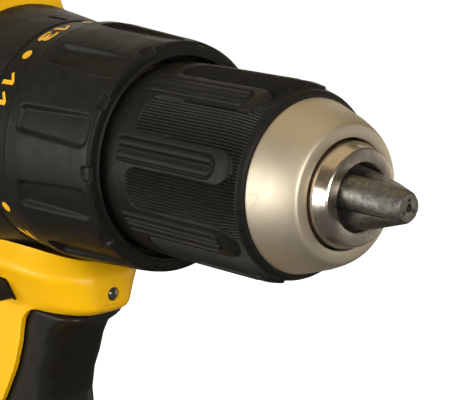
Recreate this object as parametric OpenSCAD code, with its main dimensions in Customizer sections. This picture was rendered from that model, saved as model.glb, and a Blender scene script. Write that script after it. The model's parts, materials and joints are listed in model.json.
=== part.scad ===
// Cordless hammer drill with a keyless chuck, a torque clutch collar and a slide-on battery.
// +X is forward along the chuck axis, +Z is up, and the drill stands on its battery at Z = 0.

/* [Layout] */
// Height of the chuck axis above the base
axis_z = 204; // [200:1:210]
// X of the chuck body's front ring
ring_x = 125; // [120:1:130]
// Wall of the moulded housing
wall = 2.6; // [2:0.1:3]

/* [Chuck] */
// Outer radius of the steel ring at the chuck's nose
ring_r = 10.5; // [10:0.1:11]
// Bore of that ring
ring_bore_r = 7.45; // [7.3:0.05:7.6]
// Outer radius of the twist sleeve
sleeve_r = 22.1; // [21.8:0.1:22.4]
// Distance the closed jaws stand out of the ring
jaw_reach = 13.25; // [12:0.25:14]
// Radius of one jaw's round shank
jaw_r = 3.7; // [3.5:0.1:3.8]
// Angle of the jaws to the chuck axis, in degrees
jaw_angle = 13.5; // [13:0.5:14]

/* [Gears] */
// Tooth module of the three planetary stages
gear_m = 0.8; // [0.8:0.1:0.8]
// Teeth of each sun gear
sun_teeth = 12; // [12:3:12]
// Teeth of each planet gear
planet_teeth = 15; // [15:3:15]
// Clearance on each flank of a tooth
flank_play = 0.06; // [0.04:0.01:0.08]

/* [Collar] */
// Outer radius of the clutch collar's grip
collar_r = 29.05; // [28.5:0.05:29.5]
// Recesses around the collar's grip
collar_recesses = 10; // [8:1:12]

/* [Handle] */
// Width of the handle's plastic core
handle_w = 33; // [31:1:34]
// Width of the trigger
trigger_w = 19; // [17:1:20]

/* [Battery] */
// Length of the battery
pack_l = 118; // [112:1:120]
// Width of the battery
pack_w = 76; // [74:1:78]
// Height of the battery's case, without its rails
pack_h = 50; // [49:1:50]

/* [Hidden] */
$fn = 96;

SPLIT = 0.05;            // half the gap between the two housing shells
EPS = 0.02;              // thickness of the thin slices that a hull joins

// Stations along the chuck axis, measured from the ring's front face (forward is positive)
NOSE_FRONT = -4.3;
NOSE_BACK = -15.3;
SLEEVE_BACK = -59.5;
COLLAR_FRONT = -57.8;
COLLAR_BACK = -96.5;
CASE_FRONT = -60;
CASE_BACK = -118;
BODY_FRONT = -115.7;     // front edge of the housing's barrel
BODY_BACK = -165;
CAP_BACK = -190;
MOTOR_FRONT = -120.5;
MOTOR_BACK = -172;
BARREL_R = 32.4;
HUMP_TOP = 34.4;         // height of the hump round the speed selector, from the chuck axis
HUMP_BACK = -140;
MOTOR_R = 18.5;
CASE_BORE = 19.4;        // bore that holds the ring gears

// Planetary stages: rear end of the teeth and their width
PLANET_W = 7;
STAGE_S = [-116.5, -104.6, -91.3];
RING_TEETH = sun_teeth + 2 * planet_teeth;
PLANET_ORBIT = gear_m * (sun_teeth + planet_teeth) / 2;
RING_OUT = 19.3;
PLATE_R = 14;
PIN_R = 2;
GEAR_GREY = "#8d8f93";

// Housing below the barrel, X in the row frame and Z from the chuck axis
CHIN_FRONT = ring_x - 83;
CHIN_LOW = axis_z - 44;
RIDGE_Z = axis_z - 32.5;
LED_Z = axis_z - 38;
LED_R = 2.5;
LED_TIP_R = 1.7;
TRIGGER_TOP = CHIN_LOW - 0.4;
TRIGGER_LOW = axis_z - 80.2;
TRIGGER_FRONT = ring_x - 87.8;
TRIGGER_BACK = 1;
HANDLE_TOP = axis_z - 38;
BUTTON_X = [6, 18];
BUTTON_Z = [axis_z - 42, axis_z - 36.5];
BUTTON_HALF = 19.5;
FOOT_TOP = 66;
FOOT_LOW = pack_h + 0.5;
RAIL_TOP = 61.5;
HANDLE_R = handle_w / 2;
HOOK = [12, 58];         // X and Z of the belt hook's screw holes
HOOK_HOLE_R = 1.65;
PACK_BOSS = [52.3, 29];  // half spacings of the battery's case screws
// Housing screws: X, Z and the depth of the head from the parting plane
SCREWS = [[-9, axis_z + 23, 20], [-34, axis_z + 23, 20], [-34, axis_z - 24, 19],
    [-6, axis_z - 30, 14.5], [-36, 150, 12.5], [-35, 104, 12.5], [-4, 104, 12.5], [-40, 78, 14], [2, 78, 14]];

// ---------- shared shapes ----------

module on_axis(s = 0) {
    translate([ring_x + s, 0, axis_z]) rotate([0, 90, 0]) children();
}

// A solid of revolution about the chuck axis; points are [radius, station]
module turned(points) {
    on_axis() rotate_extrude() polygon(points);
}

// A drum between two stations
module drum(s0, s1, r, hole = 0) {
    on_axis(s0) difference() {
        cylinder(r = r, h = s1 - s0);
        if (hole > 0) translate([0, 0, -1]) cylinder(r = hole, h = s1 - s0 + 2);
    }
}

module cross_cylinder(x, z, r, y0, y1) {
    translate([x, y0, z]) rotate([-90, 0, 0]) cylinder(r = r, h = y1 - y0, $fn = 48);
}

// Box from two corners
module block(low, high) {
    translate(low) cube(high - low);
}

// Side outline in X and Z, extruded across Y
module side_plate(points, half) {
    translate([0, half, 0]) rotate([90, 0, 0]) linear_extrude(2 * half) polygon(points);
}

module round_rect(l, w, r) {
    for (x = [-1, 1], y = [-1, 1])
        translate([x * (l / 2 - r), y * (w / 2 - r)]) circle(r = r, $fn = 40);
    square([l - 2 * r, w], center = true);
    square([l, w - 2 * r], center = true);
}

// ---------- gear teeth ----------

function involute(a) = tan(a) * 180 / PI - a;

// Half angle of a tooth at radius r, with its flank moved back by play
function half_tooth(n, r, play) =
    let (rp = gear_m * n / 2, rb = rp * cos(20))
    90 / n - play / rp * 180 / PI + involute(20) - involute(acos(min(1, rb / r)));

function tooth_radii(n, add, ded) =
    let (rp = gear_m * n / 2) [rp - ded, rp - ded * 0.35, rp + add * 0.3, rp + add];

function gear_points(n, add, ded, play) = [
    for (i = [0 : n - 1])
        for (side = [-1, 1])
            let (radii = tooth_radii(n, add, ded))
            for (j = [0 : 3])
                let (r = side < 0 ? radii[j] : radii[3 - j],
                    a = i * 360 / n + side * half_tooth(n, r, play))
                [r * cos(a), r * sin(a)]
];

module spur(n, w) {
    linear_extrude(w) polygon(gear_points(n, 0.8 * gear_m, 1.1 * gear_m, flank_play));
}

// A ring gear, its tooth spaces lined up with the planets
module ring_teeth(s0, s1) {
    on_axis(s0) difference() {
        cylinder(r = RING_OUT, h = s1 - s0);
        translate([0, 0, -1])
            linear_extrude(s1 - s0 + 2)
                polygon(gear_points(RING_TEETH, 1.1 * gear_m, 0.8 * gear_m, -flank_play));
    }
}

module planet(stage, index) {
    on_axis(STAGE_S[stage - 1]) rotate([0, 0, 120 * index]) translate([PLANET_ORBIT, 0, 0])
        difference() {
            spur(planet_teeth, PLANET_W);
            translate([0, 0, -1]) cylinder(r = PIN_R + 0.05, h = PLANET_W + 2);
        }
}

// Carrier plate with its three planet pins; the plate starts 0.8 mm in front of the planets
module carrier_plate(stage, thick) {
    s = STAGE_S[stage - 1];
    plate_s = s + PLANET_W + 0.8;
    drum(plate_s, plate_s + thick, PLATE_R);
    on_axis(s + 0.2)
        for (i = [0 : 2])
            rotate([0, 0, 120 * i]) translate([PLANET_ORBIT, 0, 0])
                cylinder(r = PIN_R, h = PLANET_W + 1.2);
}

// ---------- chuck ----------

// The joints between the jaws lie at the top and 120 degrees to each side
function jaw_turn(index) = 240 + 120 * index;

module jaw_frame(index) {
    // The jaw's own axis meets the chuck axis at the tip
    on_axis(jaw_reach) rotate([0, 0, jaw_turn(index)]) rotate([0, 180 - jaw_angle, 0])
        children();
}

module jaw_holes() {
    for (i = [0 : 2])
        jaw_frame(i) translate([0, 0, -8]) cylinder(r = jaw_r + 0.06, h = 78);
}

JAW_BACK = -25;

module jaw(index) {
    color("#6f7073") intersection() {
        jaw_frame(index) translate([0, 0, -6]) cylinder(r = jaw_r, h = 60);
        // The tip and the back end are square to the chuck axis
        drum(JAW_BACK, jaw_reach, 26);
        // Two flat faces that close on the other jaws
        on_axis(JAW_BACK - 1) rotate([0, 0, jaw_turn(index)]) translate([0.16, 0, 0])
            linear_extrude(jaw_reach - JAW_BACK + 2)
                polygon([[0, 0], [20, -20 * tan(60)], [20, 20 * tan(60)]]);
    }
}

module chuck_body() {
    color("#b8b2a6") difference() {
        turned([[0, -57.5], [13, -57.5], [13, -46], [15.5, -44.5], [15.5, -30.6], [11.8, -30.6],
            [11.8, -21.4], [15.5, -21.4], [15.5, -18.5], [11.7, -14], [11.7, -1.2], [ring_r, 0],
            [0, 0]]);
        on_axis(-58) cylinder(r = 6.4, h = 17.5);
        on_axis(-42) cylinder(r = 6.8, h = 44);
        on_axis(-5) cylinder(r = ring_bore_r, h = 6);
        jaw_holes();
    }
}

module chuck_screw() {
    color("#55565a") union() {
        drum(-54, -40.3, 2.45);
        drum(-40.3, -37, 4.3);
    }
}

module chuck_nut() {
    color("#77787c") turned([[14.7, -30.3], [20.6, -30.3], [20.6, -21.7], [12.9, -21.7]]);
}

module nose_ring() {
    color("#b9ad97") turned([[12.2, NOSE_FRONT], [13.6, NOSE_FRONT], [15.1, NOSE_FRONT - 0.5],
        [16.7, -7], [17.9, -10.6], [19.4, NOSE_BACK + 0.2], [19.4, NOSE_BACK],
        [17.5, NOSE_BACK], [17.5, -20], [16.2, -20], [16.2, -14.5], [12.9, -7], [12.2, -6]]);
}

module chuck_sleeve() {
    color("#232323") turned([[17.6, NOSE_BACK - 0.1], [20.0, NOSE_BACK - 0.1], [20.9, -17.4],
        [21.6, -20.5], [22, -24], [sleeve_r, -45], [22.5, -50], [22.5, SLEEVE_BACK],
        [19.9, SLEEVE_BACK], [19.9, -30.5], [20.65, -30.4], [20.65, -21.5], [17.6, -20.4]]);
}

module spindle() {
    color("#9a9b9f") difference() {
        union() {
            carrier_plate(3, 3.2);
            drum(-80.6, -78, 9);
            drum(-78.1, -59, 6);
            drum(-59.1, -41.2, 6.35);
        }
        on_axis(-55) cylinder(r = 2.5, h = 15);
    }
}

module spindle_bearing() {
    color("#c9cacd") union() {
        drum(-74, -66, 11, 9.4);
        drum(-74, -66, 7.7, 6.03);
        for (i = [0 : 8])
            on_axis(-70) rotate([0, 0, 40 * i]) translate([8.55, 0, 0]) sphere(r = 0.8, $fn = 24);
    }
}

// ---------- clutch ----------

module clutch_collar() {
    color("#262626") difference() {
        turned([[23.7, COLLAR_FRONT - 0.6], [24.3, COLLAR_FRONT], [25.6, COLLAR_FRONT - 0.3],
            [27.3, -60.2], [27.8, -67], [28.5, -75], [collar_r, -82], [collar_r - 0.1, -86],
            [28.4, -93.4], [28.0, COLLAR_BACK], [22.2, COLLAR_BACK], [22.2, -62.8], [23.7, -62]]);
        for (i = [0 : collar_recesses - 1])
            on_axis(-71.4) rotate([0, 0, 180 + 34.5 + i * 360 / collar_recesses])
                translate([29.3, 0, 0]) cube([2.6, 7, 18.6], center = true);
    }
}

module clutch_nut() {
    color("#a0783c") drum(-67, -63, 21.4, 14.3);
}

module clutch_washer() {
    color("#a9aaad") drum(-79.4, -78.4, 19.2, 15.2);
}

module clutch_balls() {
    color("#d5d6d8")
        for (i = [0 : 5])
            on_axis(-81.5) rotate([0, 0, 60 * i + 30]) translate([17.4, 0, 0])
                sphere(r = 2, $fn = 32);
}

function coil_point(u, turns, s0, s1, r) =
    [s0 + (s1 - s0) * u, r * cos(360 * turns * u), r * sin(360 * turns * u)];

// Round wire wound about the chuck axis, with ends square to the wire
module coil(s0, s1, r, wire, turns) {
    rings = 24 * turns;
    sides = 8;
    points = [for (i = [0 : rings], k = [0 : sides - 1])
        let (u = i / rings, a = 360 * turns * u, c = 360 * k / sides)
        coil_point(u, turns, s0, s1, r)
            + wire * [sin(c), cos(c) * cos(a), cos(c) * sin(a)]];
    walls = [for (i = [0 : rings - 1], k = [0 : sides - 1])
        let (n = (k + 1) % sides)
        [i * sides + k, i * sides + n, (i + 1) * sides + n, (i + 1) * sides + k]];
    first = [for (k = [0 : sides - 1]) sides - 1 - k];
    last = [for (k = [0 : sides - 1]) rings * sides + k];
    translate([ring_x, 0, axis_z]) polyhedron(points, concat([first], walls, [last]));
}

module clutch_spring() {
    color("#8f9094") coil(-77.3, -68.1, 16.9, 0.95, 3);
}

module clutch_ring() {
    color(GEAR_GREY) ring_teeth(-91.5, -83.9);
}

module gear_case() {
    color("#1f1f20") difference() {
        turned([[CASE_BORE, CASE_BACK], [25.5, CASE_BACK], [25.5, BODY_FRONT + 0.1],
            [30.8, BODY_FRONT + 0.1], [29.5, -105.3], [28.9, -101], [28.2, -97],
            [21.8, -96.9], [21.8, -79.6], [14, -79.6], [14, CASE_FRONT], [11.03, CASE_FRONT],
            [11.03, -75], [9.8, -75], [9.8, -79.9], [14.6, -79.9], [14.6, -83.6],
            [CASE_BORE, -83.6]]);
        for (i = [0 : 5])
            on_axis(-84) rotate([0, 0, 60 * i + 30]) translate([17.4, 0, 0])
                cylinder(r = 2.1, h = 5, $fn = 48);
        // Channel for the shift wire, from the rear face to the middle ring gear
        block([ring_x + CASE_BACK - 1, -1.9, axis_z + 17], [ring_x - 93, 1.9, axis_z + 24.2]);
    }
}

// ---------- gearbox ----------

module ring_gear() {
    color(GEAR_GREY) ring_teeth(-117, -109);
}

module shift_ring() {
    color("#96784a") difference() {
        ring_teeth(-105, -97);
        on_axis(-102) difference() {
            cylinder(r = RING_OUT + 1, h = 2);
            translate([0, 0, -1]) cylinder(r = 18.4, h = 4);
        }
    }
}

module shift_wire() {
    color("#8f9094") union() {
        block([ring_x - 101.8, -1.2, axis_z + 18.7], [ring_x - 100.2, 1.2, axis_z + 21.6]);
        block([ring_x - 125, -1.2, axis_z + 20.2], [ring_x - 100.2, 1.2, axis_z + 21.8]);
        block([ring_x - 125, -1.2, axis_z + 20.2], [ring_x - 123.4, 1.2, axis_z + 27.4]);
    }
}

module speed_selector() {
    color("#1d1d1e") difference() {
        union() {
            block([ring_x - 136, -5.2, axis_z + 26.7], [ring_x - 122.2, 5.2, axis_z + 29.2]);
            block([ring_x - 130, -3.5, axis_z + 29], [ring_x - 122.2, 3.5, axis_z + 35]);
        }
        for (i = [0 : 2])
            block([ring_x - 128.8 + 2.2 * i, -4, axis_z + 34.2],
                [ring_x - 127.8 + 2.2 * i, 4, axis_z + 36]);
        block([ring_x - 125.1, -1.3, axis_z + 26], [ring_x - 123.3, 1.3, axis_z + 27.8]);
    }
}

module carrier_1() {
    color(GEAR_GREY) union() {
        carrier_plate(1, 2.5);
        on_axis(-106.3) spur(sun_teeth, 9.1);
    }
}

module carrier_2() {
    color(GEAR_GREY) union() {
        carrier_plate(2, 2.7);
        on_axis(-94.2) spur(sun_teeth, 9.7);
    }
}

// ---------- motor ----------

module rotor_shaft() {
    color("#b4b5b8") union() {
        drum(-185, -109.4, 1.6);
        on_axis(-117) spur(sun_teeth, 7.6);
    }
}

module armature_core() {
    color("#5f6064") difference() {
        drum(-160, -132, 14.6, 1.62);
        for (i = [0 : 11])
            on_axis(-161) rotate([0, 0, 30 * i]) translate([12.4, 0, 0])
                cube([5.2, 2.4, 64], center = true);
    }
}

module windings() {
    color("#b3622a") union() {
        turned([[5.6, -165.5], [11.5, -165.5], [13.6, -163], [13.6, -160.1], [5.6, -160.1]]);
        turned([[5.6, -131.9], [13.6, -131.9], [13.6, -129.5], [11.5, -127.6], [5.6, -127.6]]);
        for (i = [0 : 11])
            on_axis(-160.15) rotate([0, 0, 30 * i]) translate([11.6, 0, 14.15])
                cube([2.4, 1.8, 28.3], center = true);
    }
}

module commutator() {
    color("#b87333") difference() {
        drum(-176, -166.5, 5.2, 1.62);
        for (i = [0 : 11])
            on_axis(-177) rotate([0, 0, 30 * i + 15]) translate([5.2, 0, 5])
                cube([1.2, 0.5, 12], center = true);
    }
}

module fan() {
    color("#2a2a2b") union() {
        drum(-126.8, -125.8, 15.4, 1.62);
        drum(-125.9, -122.6, 3.6, 1.62);
        for (i = [0 : 10])
            on_axis(-125.9) rotate([0, 0, i * 360 / 11]) translate([9.4, 0, 1.5])
                cube([11, 0.9, 3], center = true);
    }
}

module motor_bearings() {
    color("#c9cacd") union() {
        drum(-184.5, -180.5, 4.4, 1.63);
        drum(-121.8, -117.6, 4.4, 1.63);
    }
}

module motor_can() {
    color("#a7a9ac") difference() {
        turned([[4.45, MOTOR_FRONT - 1.6], [4.45, MOTOR_FRONT + 2.3], [6.6, MOTOR_FRONT + 2.3],
            [6.6, MOTOR_FRONT], [MOTOR_R - 1.2, MOTOR_FRONT], [MOTOR_R, MOTOR_FRONT - 1.2],
            [MOTOR_R, MOTOR_BACK], [MOTOR_R - 1.1, MOTOR_BACK], [MOTOR_R - 1.1, MOTOR_FRONT - 1.6]]);
        for (i = [0 : 3])
            on_axis(MOTOR_FRONT - 3) rotate([0, 0, 90 * i + 45]) translate([11.5, 0, 0])
                cylinder(r = 2.6, h = 6, $fn = 32);
    }
}

module field_magnets() {
    color("#3a3b3d") difference() {
        drum(-163, -129, MOTOR_R - 1.15, 15.2);
        block([-60, -3, axis_z - 19], [10, 3, axis_z + 19]);
    }
}

module end_bell() {
    color("#2b2b2c") difference() {
        turned([[4.45, -184.5], [6.8, -184.5], [6.8, -179.8], [MOTOR_R, -179.8],
            [MOTOR_R, MOTOR_BACK - 0.1], [7.4, MOTOR_BACK - 0.1], [7.4, -177.6], [4.45, -177.6]]);
        for (side = [-1, 1])
            block([ring_x - 177.4, side * 11 - 5, axis_z - 2.9],
                [ring_x - 172, side * 11 + 5, axis_z + 2.9]);
    }
}

module carbon_brushes() {
    color("#303134")
        for (side = [0, 1])
            mirror([0, side, 0])
                block([ring_x - 177.2, 5.35, axis_z - 2.7], [ring_x - 172.3, 14.5, axis_z + 2.7]);
}

// ---------- housing ----------

// Plan outline of the chin at one level, a blunt bow of the given half widths
function bow_side(half, front_half) = concat(
    [[-30, half], [24, half]],
    [for (a = [15 : 15 : 75])
        [24 + (CHIN_FRONT - 24) * sin(a), front_half + (half - front_half) * pow(cos(a), 1.4)]],
    [[CHIN_FRONT, front_half]]);

module bow(half, front_half) {
    right = bow_side(half, front_half);
    left = [for (i = [len(right) - 1 : -1 : 0]) [right[i][0], -right[i][1]]];
    linear_extrude(EPS) polygon(concat(right, left));
}

// The chin is widest at a ridge and draws in above and below it
module chin() {
    hull() {
        translate([0, 0, axis_z - 22]) bow(12, 5);
        translate([0, 0, RIDGE_Z]) bow(17, 7);
        translate([0, 0, CHIN_LOW]) bow(11, 5);
    }
}

// The handle's core as a leaning oval post, grown by g on every side
module handle_post(g, low, high) {
    hull()
        for (z = [low, high])
            for (end = [-1, 1])
                translate([handle_mid(z) + end * 10.5, 0, z])
                    cylinder(r = HANDLE_R + g, h = EPS, $fn = 32);
}

function handle_mid(z) = -16 - (HANDLE_TOP - z) * 0.062;

module foot_solid() {
    hull() {
        for (x = [-48, 38], y = [-26, 26])
            translate([x, y, FOOT_TOP]) cylinder(r = 9, h = 3, $fn = 32);
        for (end = [-1, 1])
            translate([handle_mid(86) + end * 10.5, 0, 86])
                cylinder(r = HANDLE_R, h = EPS, $fn = 32);
    }
    translate([-5, 0, FOOT_LOW]) linear_extrude(FOOT_TOP - FOOT_LOW + 0.1)
        round_rect(106, 72, 10);
}

module barrel_solid() {
    turned([[0, BODY_BACK], [31.4, BODY_BACK], [32.2, -160], [BARREL_R, -150], [31.9, -130],
        [31, BODY_FRONT], [0, BODY_FRONT]]);
}

// Raised hump on top of the barrel, open for the speed selector
module hump() {
    hull() {
        block([ring_x + HUMP_BACK, -7.4, axis_z + 29], [ring_x + BODY_FRONT, 7.4, axis_z + 30]);
        block([ring_x + HUMP_BACK + 5, -5.8, axis_z + HUMP_TOP - 1],
            [ring_x + BODY_FRONT - 1.4, 5.8, axis_z + HUMP_TOP]);
    }
}

module housing_body() {
    difference() {
        union() {
            barrel_solid();
            hump();
            chin();
            handle_post(0, 80, HANDLE_TOP + 12);
            foot_solid();
        }
        // Space for the rear cap behind the barrel
        drum(CAP_BACK - 1, BODY_BACK - 0.05, BARREL_R);
        // Hollow barrel, closed behind by the rear cap
        drum(BODY_BACK - 1, -121, 28);
        drum(-121.1, BODY_FRONT + 1, 25.9);
        // Seat that clears the fixed ring and the clutch collar above the chin
        turned([[0, BODY_FRONT], [31.05, BODY_FRONT], [30.2, -109], [29.9, -97], [29.9, -50], [0, -50]]);
        // Hollow handle
        handle_post(-wall, 84, axis_z - 29);
        // Pockets for the trigger, its switch, the direction button and the lamp
        block([-12, -trigger_w / 2 - 0.5, TRIGGER_LOW - 0.6],
            [TRIGGER_FRONT, trigger_w / 2 + 0.5, TRIGGER_TOP + 0.35]);
        block([BUTTON_X[0] - 0.5, -40, BUTTON_Z[0] - 0.4], [BUTTON_X[1] + 0.5, 40, BUTTON_Z[1] + 0.4]);
        translate([CHIN_FRONT - 12, 0, LED_Z]) rotate([0, 90, 0]) union() {
            cylinder(r = LED_R + 0.05, h = 8.9, $fn = 48);
            cylinder(r = LED_TIP_R + 0.05, h = 20, $fn = 48);
        }
        // Slot for the speed selector
        block([ring_x - 138, -5.6, axis_z + 26.4], [ring_x - 116.9, 5.6, axis_z + 29.6]);
        block([ring_x - 131, -3.8, axis_z + 29], [ring_x - 116.9, 3.8, axis_z + 40]);
        block([ring_x - 126, -1.9, axis_z + 20], [ring_x - 114, 1.9, axis_z + 27]);
        // Channel for the battery's rails, open to the front
        block([-53, -18, FOOT_LOW - 1], [60, 18, RAIL_TOP + 0.5]);
        block([-53, -22, 56], [60, 22, RAIL_TOP + 0.5]);
        for (side = [-1, 1])
            cross_cylinder(HOOK[0], HOOK[1], 3.05, side * 31.5 - 5, side * 31.5 + 5);
    }
    // Ribs that hold the motor
    for (s = [-141, -160])
        drum(s - 1.5, s + 1.5, 28.1, MOTOR_R + 0.1);
}

module screw_bosses() {
    intersection() {
        union()
            for (p = SCREWS)
                cross_cylinder(p[0], p[1], 3.6, -30, 30);
        union() {
            drum(BODY_BACK + 1, BODY_FRONT - 1, 30);
            handle_post(-0.8, 80, HANDLE_TOP + 12);
        }
    }
}

module housing_half(side) {
    difference() {
        union() {
            housing_body();
            screw_bosses();
        }
        block([-100, side < 0 ? -SPLIT : -60, -10], [100, side < 0 ? 60 : SPLIT, 300]);
        for (p = SCREWS) {
            cross_cylinder(p[0], p[1], 1.95, -40, 10);
            cross_cylinder(p[0], p[1], 3.4, -40, -p[2] + 2.1);
        }
    }
}

module housing_right() {
    color("#f0b400") housing_half(-1);
}

module housing_left() {
    color("#f0b400") housing_half(1);
}

module housing_screws() {
    color("#4a4a4c")
        for (p = SCREWS) {
            cross_cylinder(p[0], p[1], 1.9, -p[2], 9.5);
            cross_cylinder(p[0], p[1], 3.2, -p[2] - 0.4, -p[2] + 2);
        }
}

module hook_inserts() {
    color("#b5a642")
        for (side = [-1, 1])
            difference() {
                cross_cylinder(HOOK[0], HOOK[1], 3, side * 31.6 - 4.4, side * 31.6 + 4.4);
                cross_cylinder(HOOK[0], HOOK[1], HOOK_HOLE_R, side * 31.6 - 6, side * 31.6 + 6);
            }
}

// Rubber skin over the back and sides of the handle, split like the housing
module grip_half(side) {
    difference() {
        handle_post(1.7, 88, HANDLE_TOP - 2);
        handle_post(0.05, 87, HANDLE_TOP - 1);
        block([-2, -30, TRIGGER_LOW - 8], [60, 30, 200]);
        block([-100, side < 0 ? -SPLIT : -60, 0], [100, side < 0 ? 60 : SPLIT, 300]);
        for (p = SCREWS)
            cross_cylinder(p[0], p[1], 3.9, -40, 0);
        barrel_solid();
        chin();
    }
}

module grip_left() {
    color("#1b1b1c") grip_half(1);
}

module grip_right() {
    color("#1b1b1c") grip_half(-1);
}

module rear_cap() {
    color("#1e1e1f") difference() {
        turned([[0, CAP_BACK], [20, CAP_BACK], [25.5, CAP_BACK + 2.2], [29.2, CAP_BACK + 8],
            [31.2, BODY_BACK - 5], [31.4, BODY_BACK - 0.1], [27.6, BODY_BACK - 0.1],
            [27.6, BODY_BACK - 6], [25, CAP_BACK + 8], [21, CAP_BACK + 4.6], [0, CAP_BACK + 4.6]]);
        for (side = [-1, 1])
            for (i = [-2 : 2])
                block([ring_x + BODY_BACK - 18, side * 26 - 12, axis_z + 5.6 * i - 1.2],
                    [ring_x + BODY_BACK - 6, side * 26 + 12, axis_z + 5.6 * i + 1.2]);
    }
}

module led_lens() {
    color("#3a3a38") translate([CHIN_FRONT - 8, 0, LED_Z]) rotate([0, 90, 0]) union() {
        cylinder(r = LED_R, h = 4.8, $fn = 48);
        cylinder(r = LED_TIP_R, h = 7.4, $fn = 48);
        translate([0, 0, 7.4]) intersection() {
            sphere(r = LED_TIP_R, $fn = 48);
            cylinder(r = LED_TIP_R + 1, h = LED_TIP_R + 1, $fn = 48);
        }
    }
}

module switch_module() {
    color("#29292a") union() {
        block([-31, -9.4, TRIGGER_LOW - 4], [-12.4, 9.4, TRIGGER_TOP - 9]);
        block([-9, -8.5, BUTTON_Z[0] - 0.5], [BUTTON_X[0] - 1.2, 8.5, BUTTON_Z[1] + 2]);
    }
}

module trigger() {
    color("#181818") difference() {
        side_plate([[TRIGGER_FRONT, TRIGGER_TOP], [TRIGGER_FRONT - 1.8, TRIGGER_TOP - 1.8],
            [TRIGGER_FRONT - 5.2, TRIGGER_TOP - 4], [TRIGGER_FRONT - 7.2, TRIGGER_TOP - 8],
            [TRIGGER_FRONT - 8.8, TRIGGER_TOP - 13], [TRIGGER_FRONT - 11.2, TRIGGER_TOP - 18],
            [TRIGGER_FRONT - 12.2, TRIGGER_TOP - 24], [TRIGGER_FRONT - 11.6, TRIGGER_TOP - 30],
            [TRIGGER_FRONT - 11.2, TRIGGER_LOW + 2], [TRIGGER_FRONT - 13.4, TRIGGER_LOW],
            [TRIGGER_BACK, TRIGGER_LOW], [TRIGGER_BACK, TRIGGER_TOP]], trigger_w / 2);
        block([TRIGGER_BACK - 3, -trigger_w / 2 + 2, TRIGGER_LOW + 2.5],
            [TRIGGER_BACK + 11, trigger_w / 2 - 2, TRIGGER_TOP - 2.5]);
    }
}

module direction_button() {
    color("#151515")
        block([BUTTON_X[0], -BUTTON_HALF, BUTTON_Z[0]], [BUTTON_X[1], BUTTON_HALF, BUTTON_Z[1]]);
}

// ---------- battery ----------

module battery_base() {
    color("#1f1f20") difference() {
        union() {
            linear_extrude(2) round_rect(pack_l - 4, pack_w - 4, 9);
            translate([0, 0, 2]) linear_extrude(24) round_rect(pack_l, pack_w, 11);
        }
        translate([0, 0, 3]) linear_extrude(30) round_rect(pack_l - 6, pack_w - 6, 8);
        for (x = [-1, 1], y = [-1, 1])
            translate([x * PACK_BOSS[0], y * PACK_BOSS[1], -1]) cylinder(r = 2.3, h = 6);
    }
    color("#1f1f20")
        for (x = [-1, 1], y = [-1, 1])
            translate([x * PACK_BOSS[0], y * PACK_BOSS[1], 0.8]) difference() {
                cylinder(r = 3.6, h = 25);
                translate([0, 0, -3]) cylinder(r = 2.3, h = 40);
            }
}

module battery_cover() {
    color("#242425") difference() {
        union() {
            translate([0, 0, 26.1]) linear_extrude(pack_h - 26.1 - 2)
                round_rect(pack_l, pack_w, 11);
            translate([0, 0, pack_h - 2.1]) linear_extrude(2.1)
                round_rect(pack_l - 4, pack_w - 4, 9);
            // Rail block
            block([-48, -17.6, pack_h - 1], [42, 17.6, RAIL_TOP]);
            block([-48, -21.6, 56.5], [42, 21.6, RAIL_TOP]);
        }
        translate([0, 0, 20]) linear_extrude(pack_h - 23) round_rect(pack_l - 6, pack_w - 6, 8);
        for (i = [-1.5 : 1.5])
            block([-49, i * 8 - 0.9, 51], [-24, i * 8 + 0.9, RAIL_TOP - 2]);
        // Well for the latch
        block([43.4, -15.3, 30], [61, 15.3, 60]);
        block([30, -8.3, 44], [61, 8.3, RAIL_TOP + 1]);
        for (x = [-1, 1], y = [-1, 1])
            translate([x * PACK_BOSS[0], y * PACK_BOSS[1], 26]) cylinder(r = 1.7, h = 10);
    }
    color("#242425")
        for (x = [-1, 1], y = [-1, 1])
            translate([x * PACK_BOSS[0], y * PACK_BOSS[1], 26.1]) difference() {
                cylinder(r = 3.6, h = pack_h - 28.6);
                translate([0, 0, -1]) cylinder(r = 1.7, h = 14);
            }
}

module battery_screws() {
    color("#4a4a4c")
        for (x = [-1, 1], y = [-1, 1])
            translate([x * PACK_BOSS[0], y * PACK_BOSS[1], 1.2]) union() {
                cylinder(r = 1.6, h = 34);
                cylinder(r = 2.2, h = 3);
            }
}

CELL_PITCH = 19.2;

module battery_cells() {
    color("#2f6f9f")
        for (i = [-2 : 2])
            cross_cylinder(i * CELL_PITCH, 24, 9.1, -32.5, 32.5);
}

module battery_terminals() {
    color("#c98b4a")
        for (i = [-1.5 : 1.5])
            for (side = [-1, 1])
                block([-46, i * 8 + side * 0.68 - 0.14, 52], [-26, i * 8 + side * 0.68 + 0.14, 59]);
    color("#1f5a33") block([-46, -20, 36], [28, 20, 37.6]);
}

module battery_latch() {
    color("#2c2c2d") union() {
        block([48.4, -15, 34.5], [58.6, 15, 46.6]);
        block([31, -8, 46.5], [52, 8, 49.3]);
        block([31, -8, 46.5], [36, 8, 60.8]);
    }
}

module terminal_block() {
    color("#2a2a2b") block([-52.8, -17, 51.2], [-48.6, 17, RAIL_TOP + 0.3]);
    color("#c98b4a")
        for (i = [-1.5 : 1.5])
            block([-48.7, i * 8 - 0.4, 52.5], [-28, i * 8 + 0.4, 58.5]);
}

// ---------- nodes ----------

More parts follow.
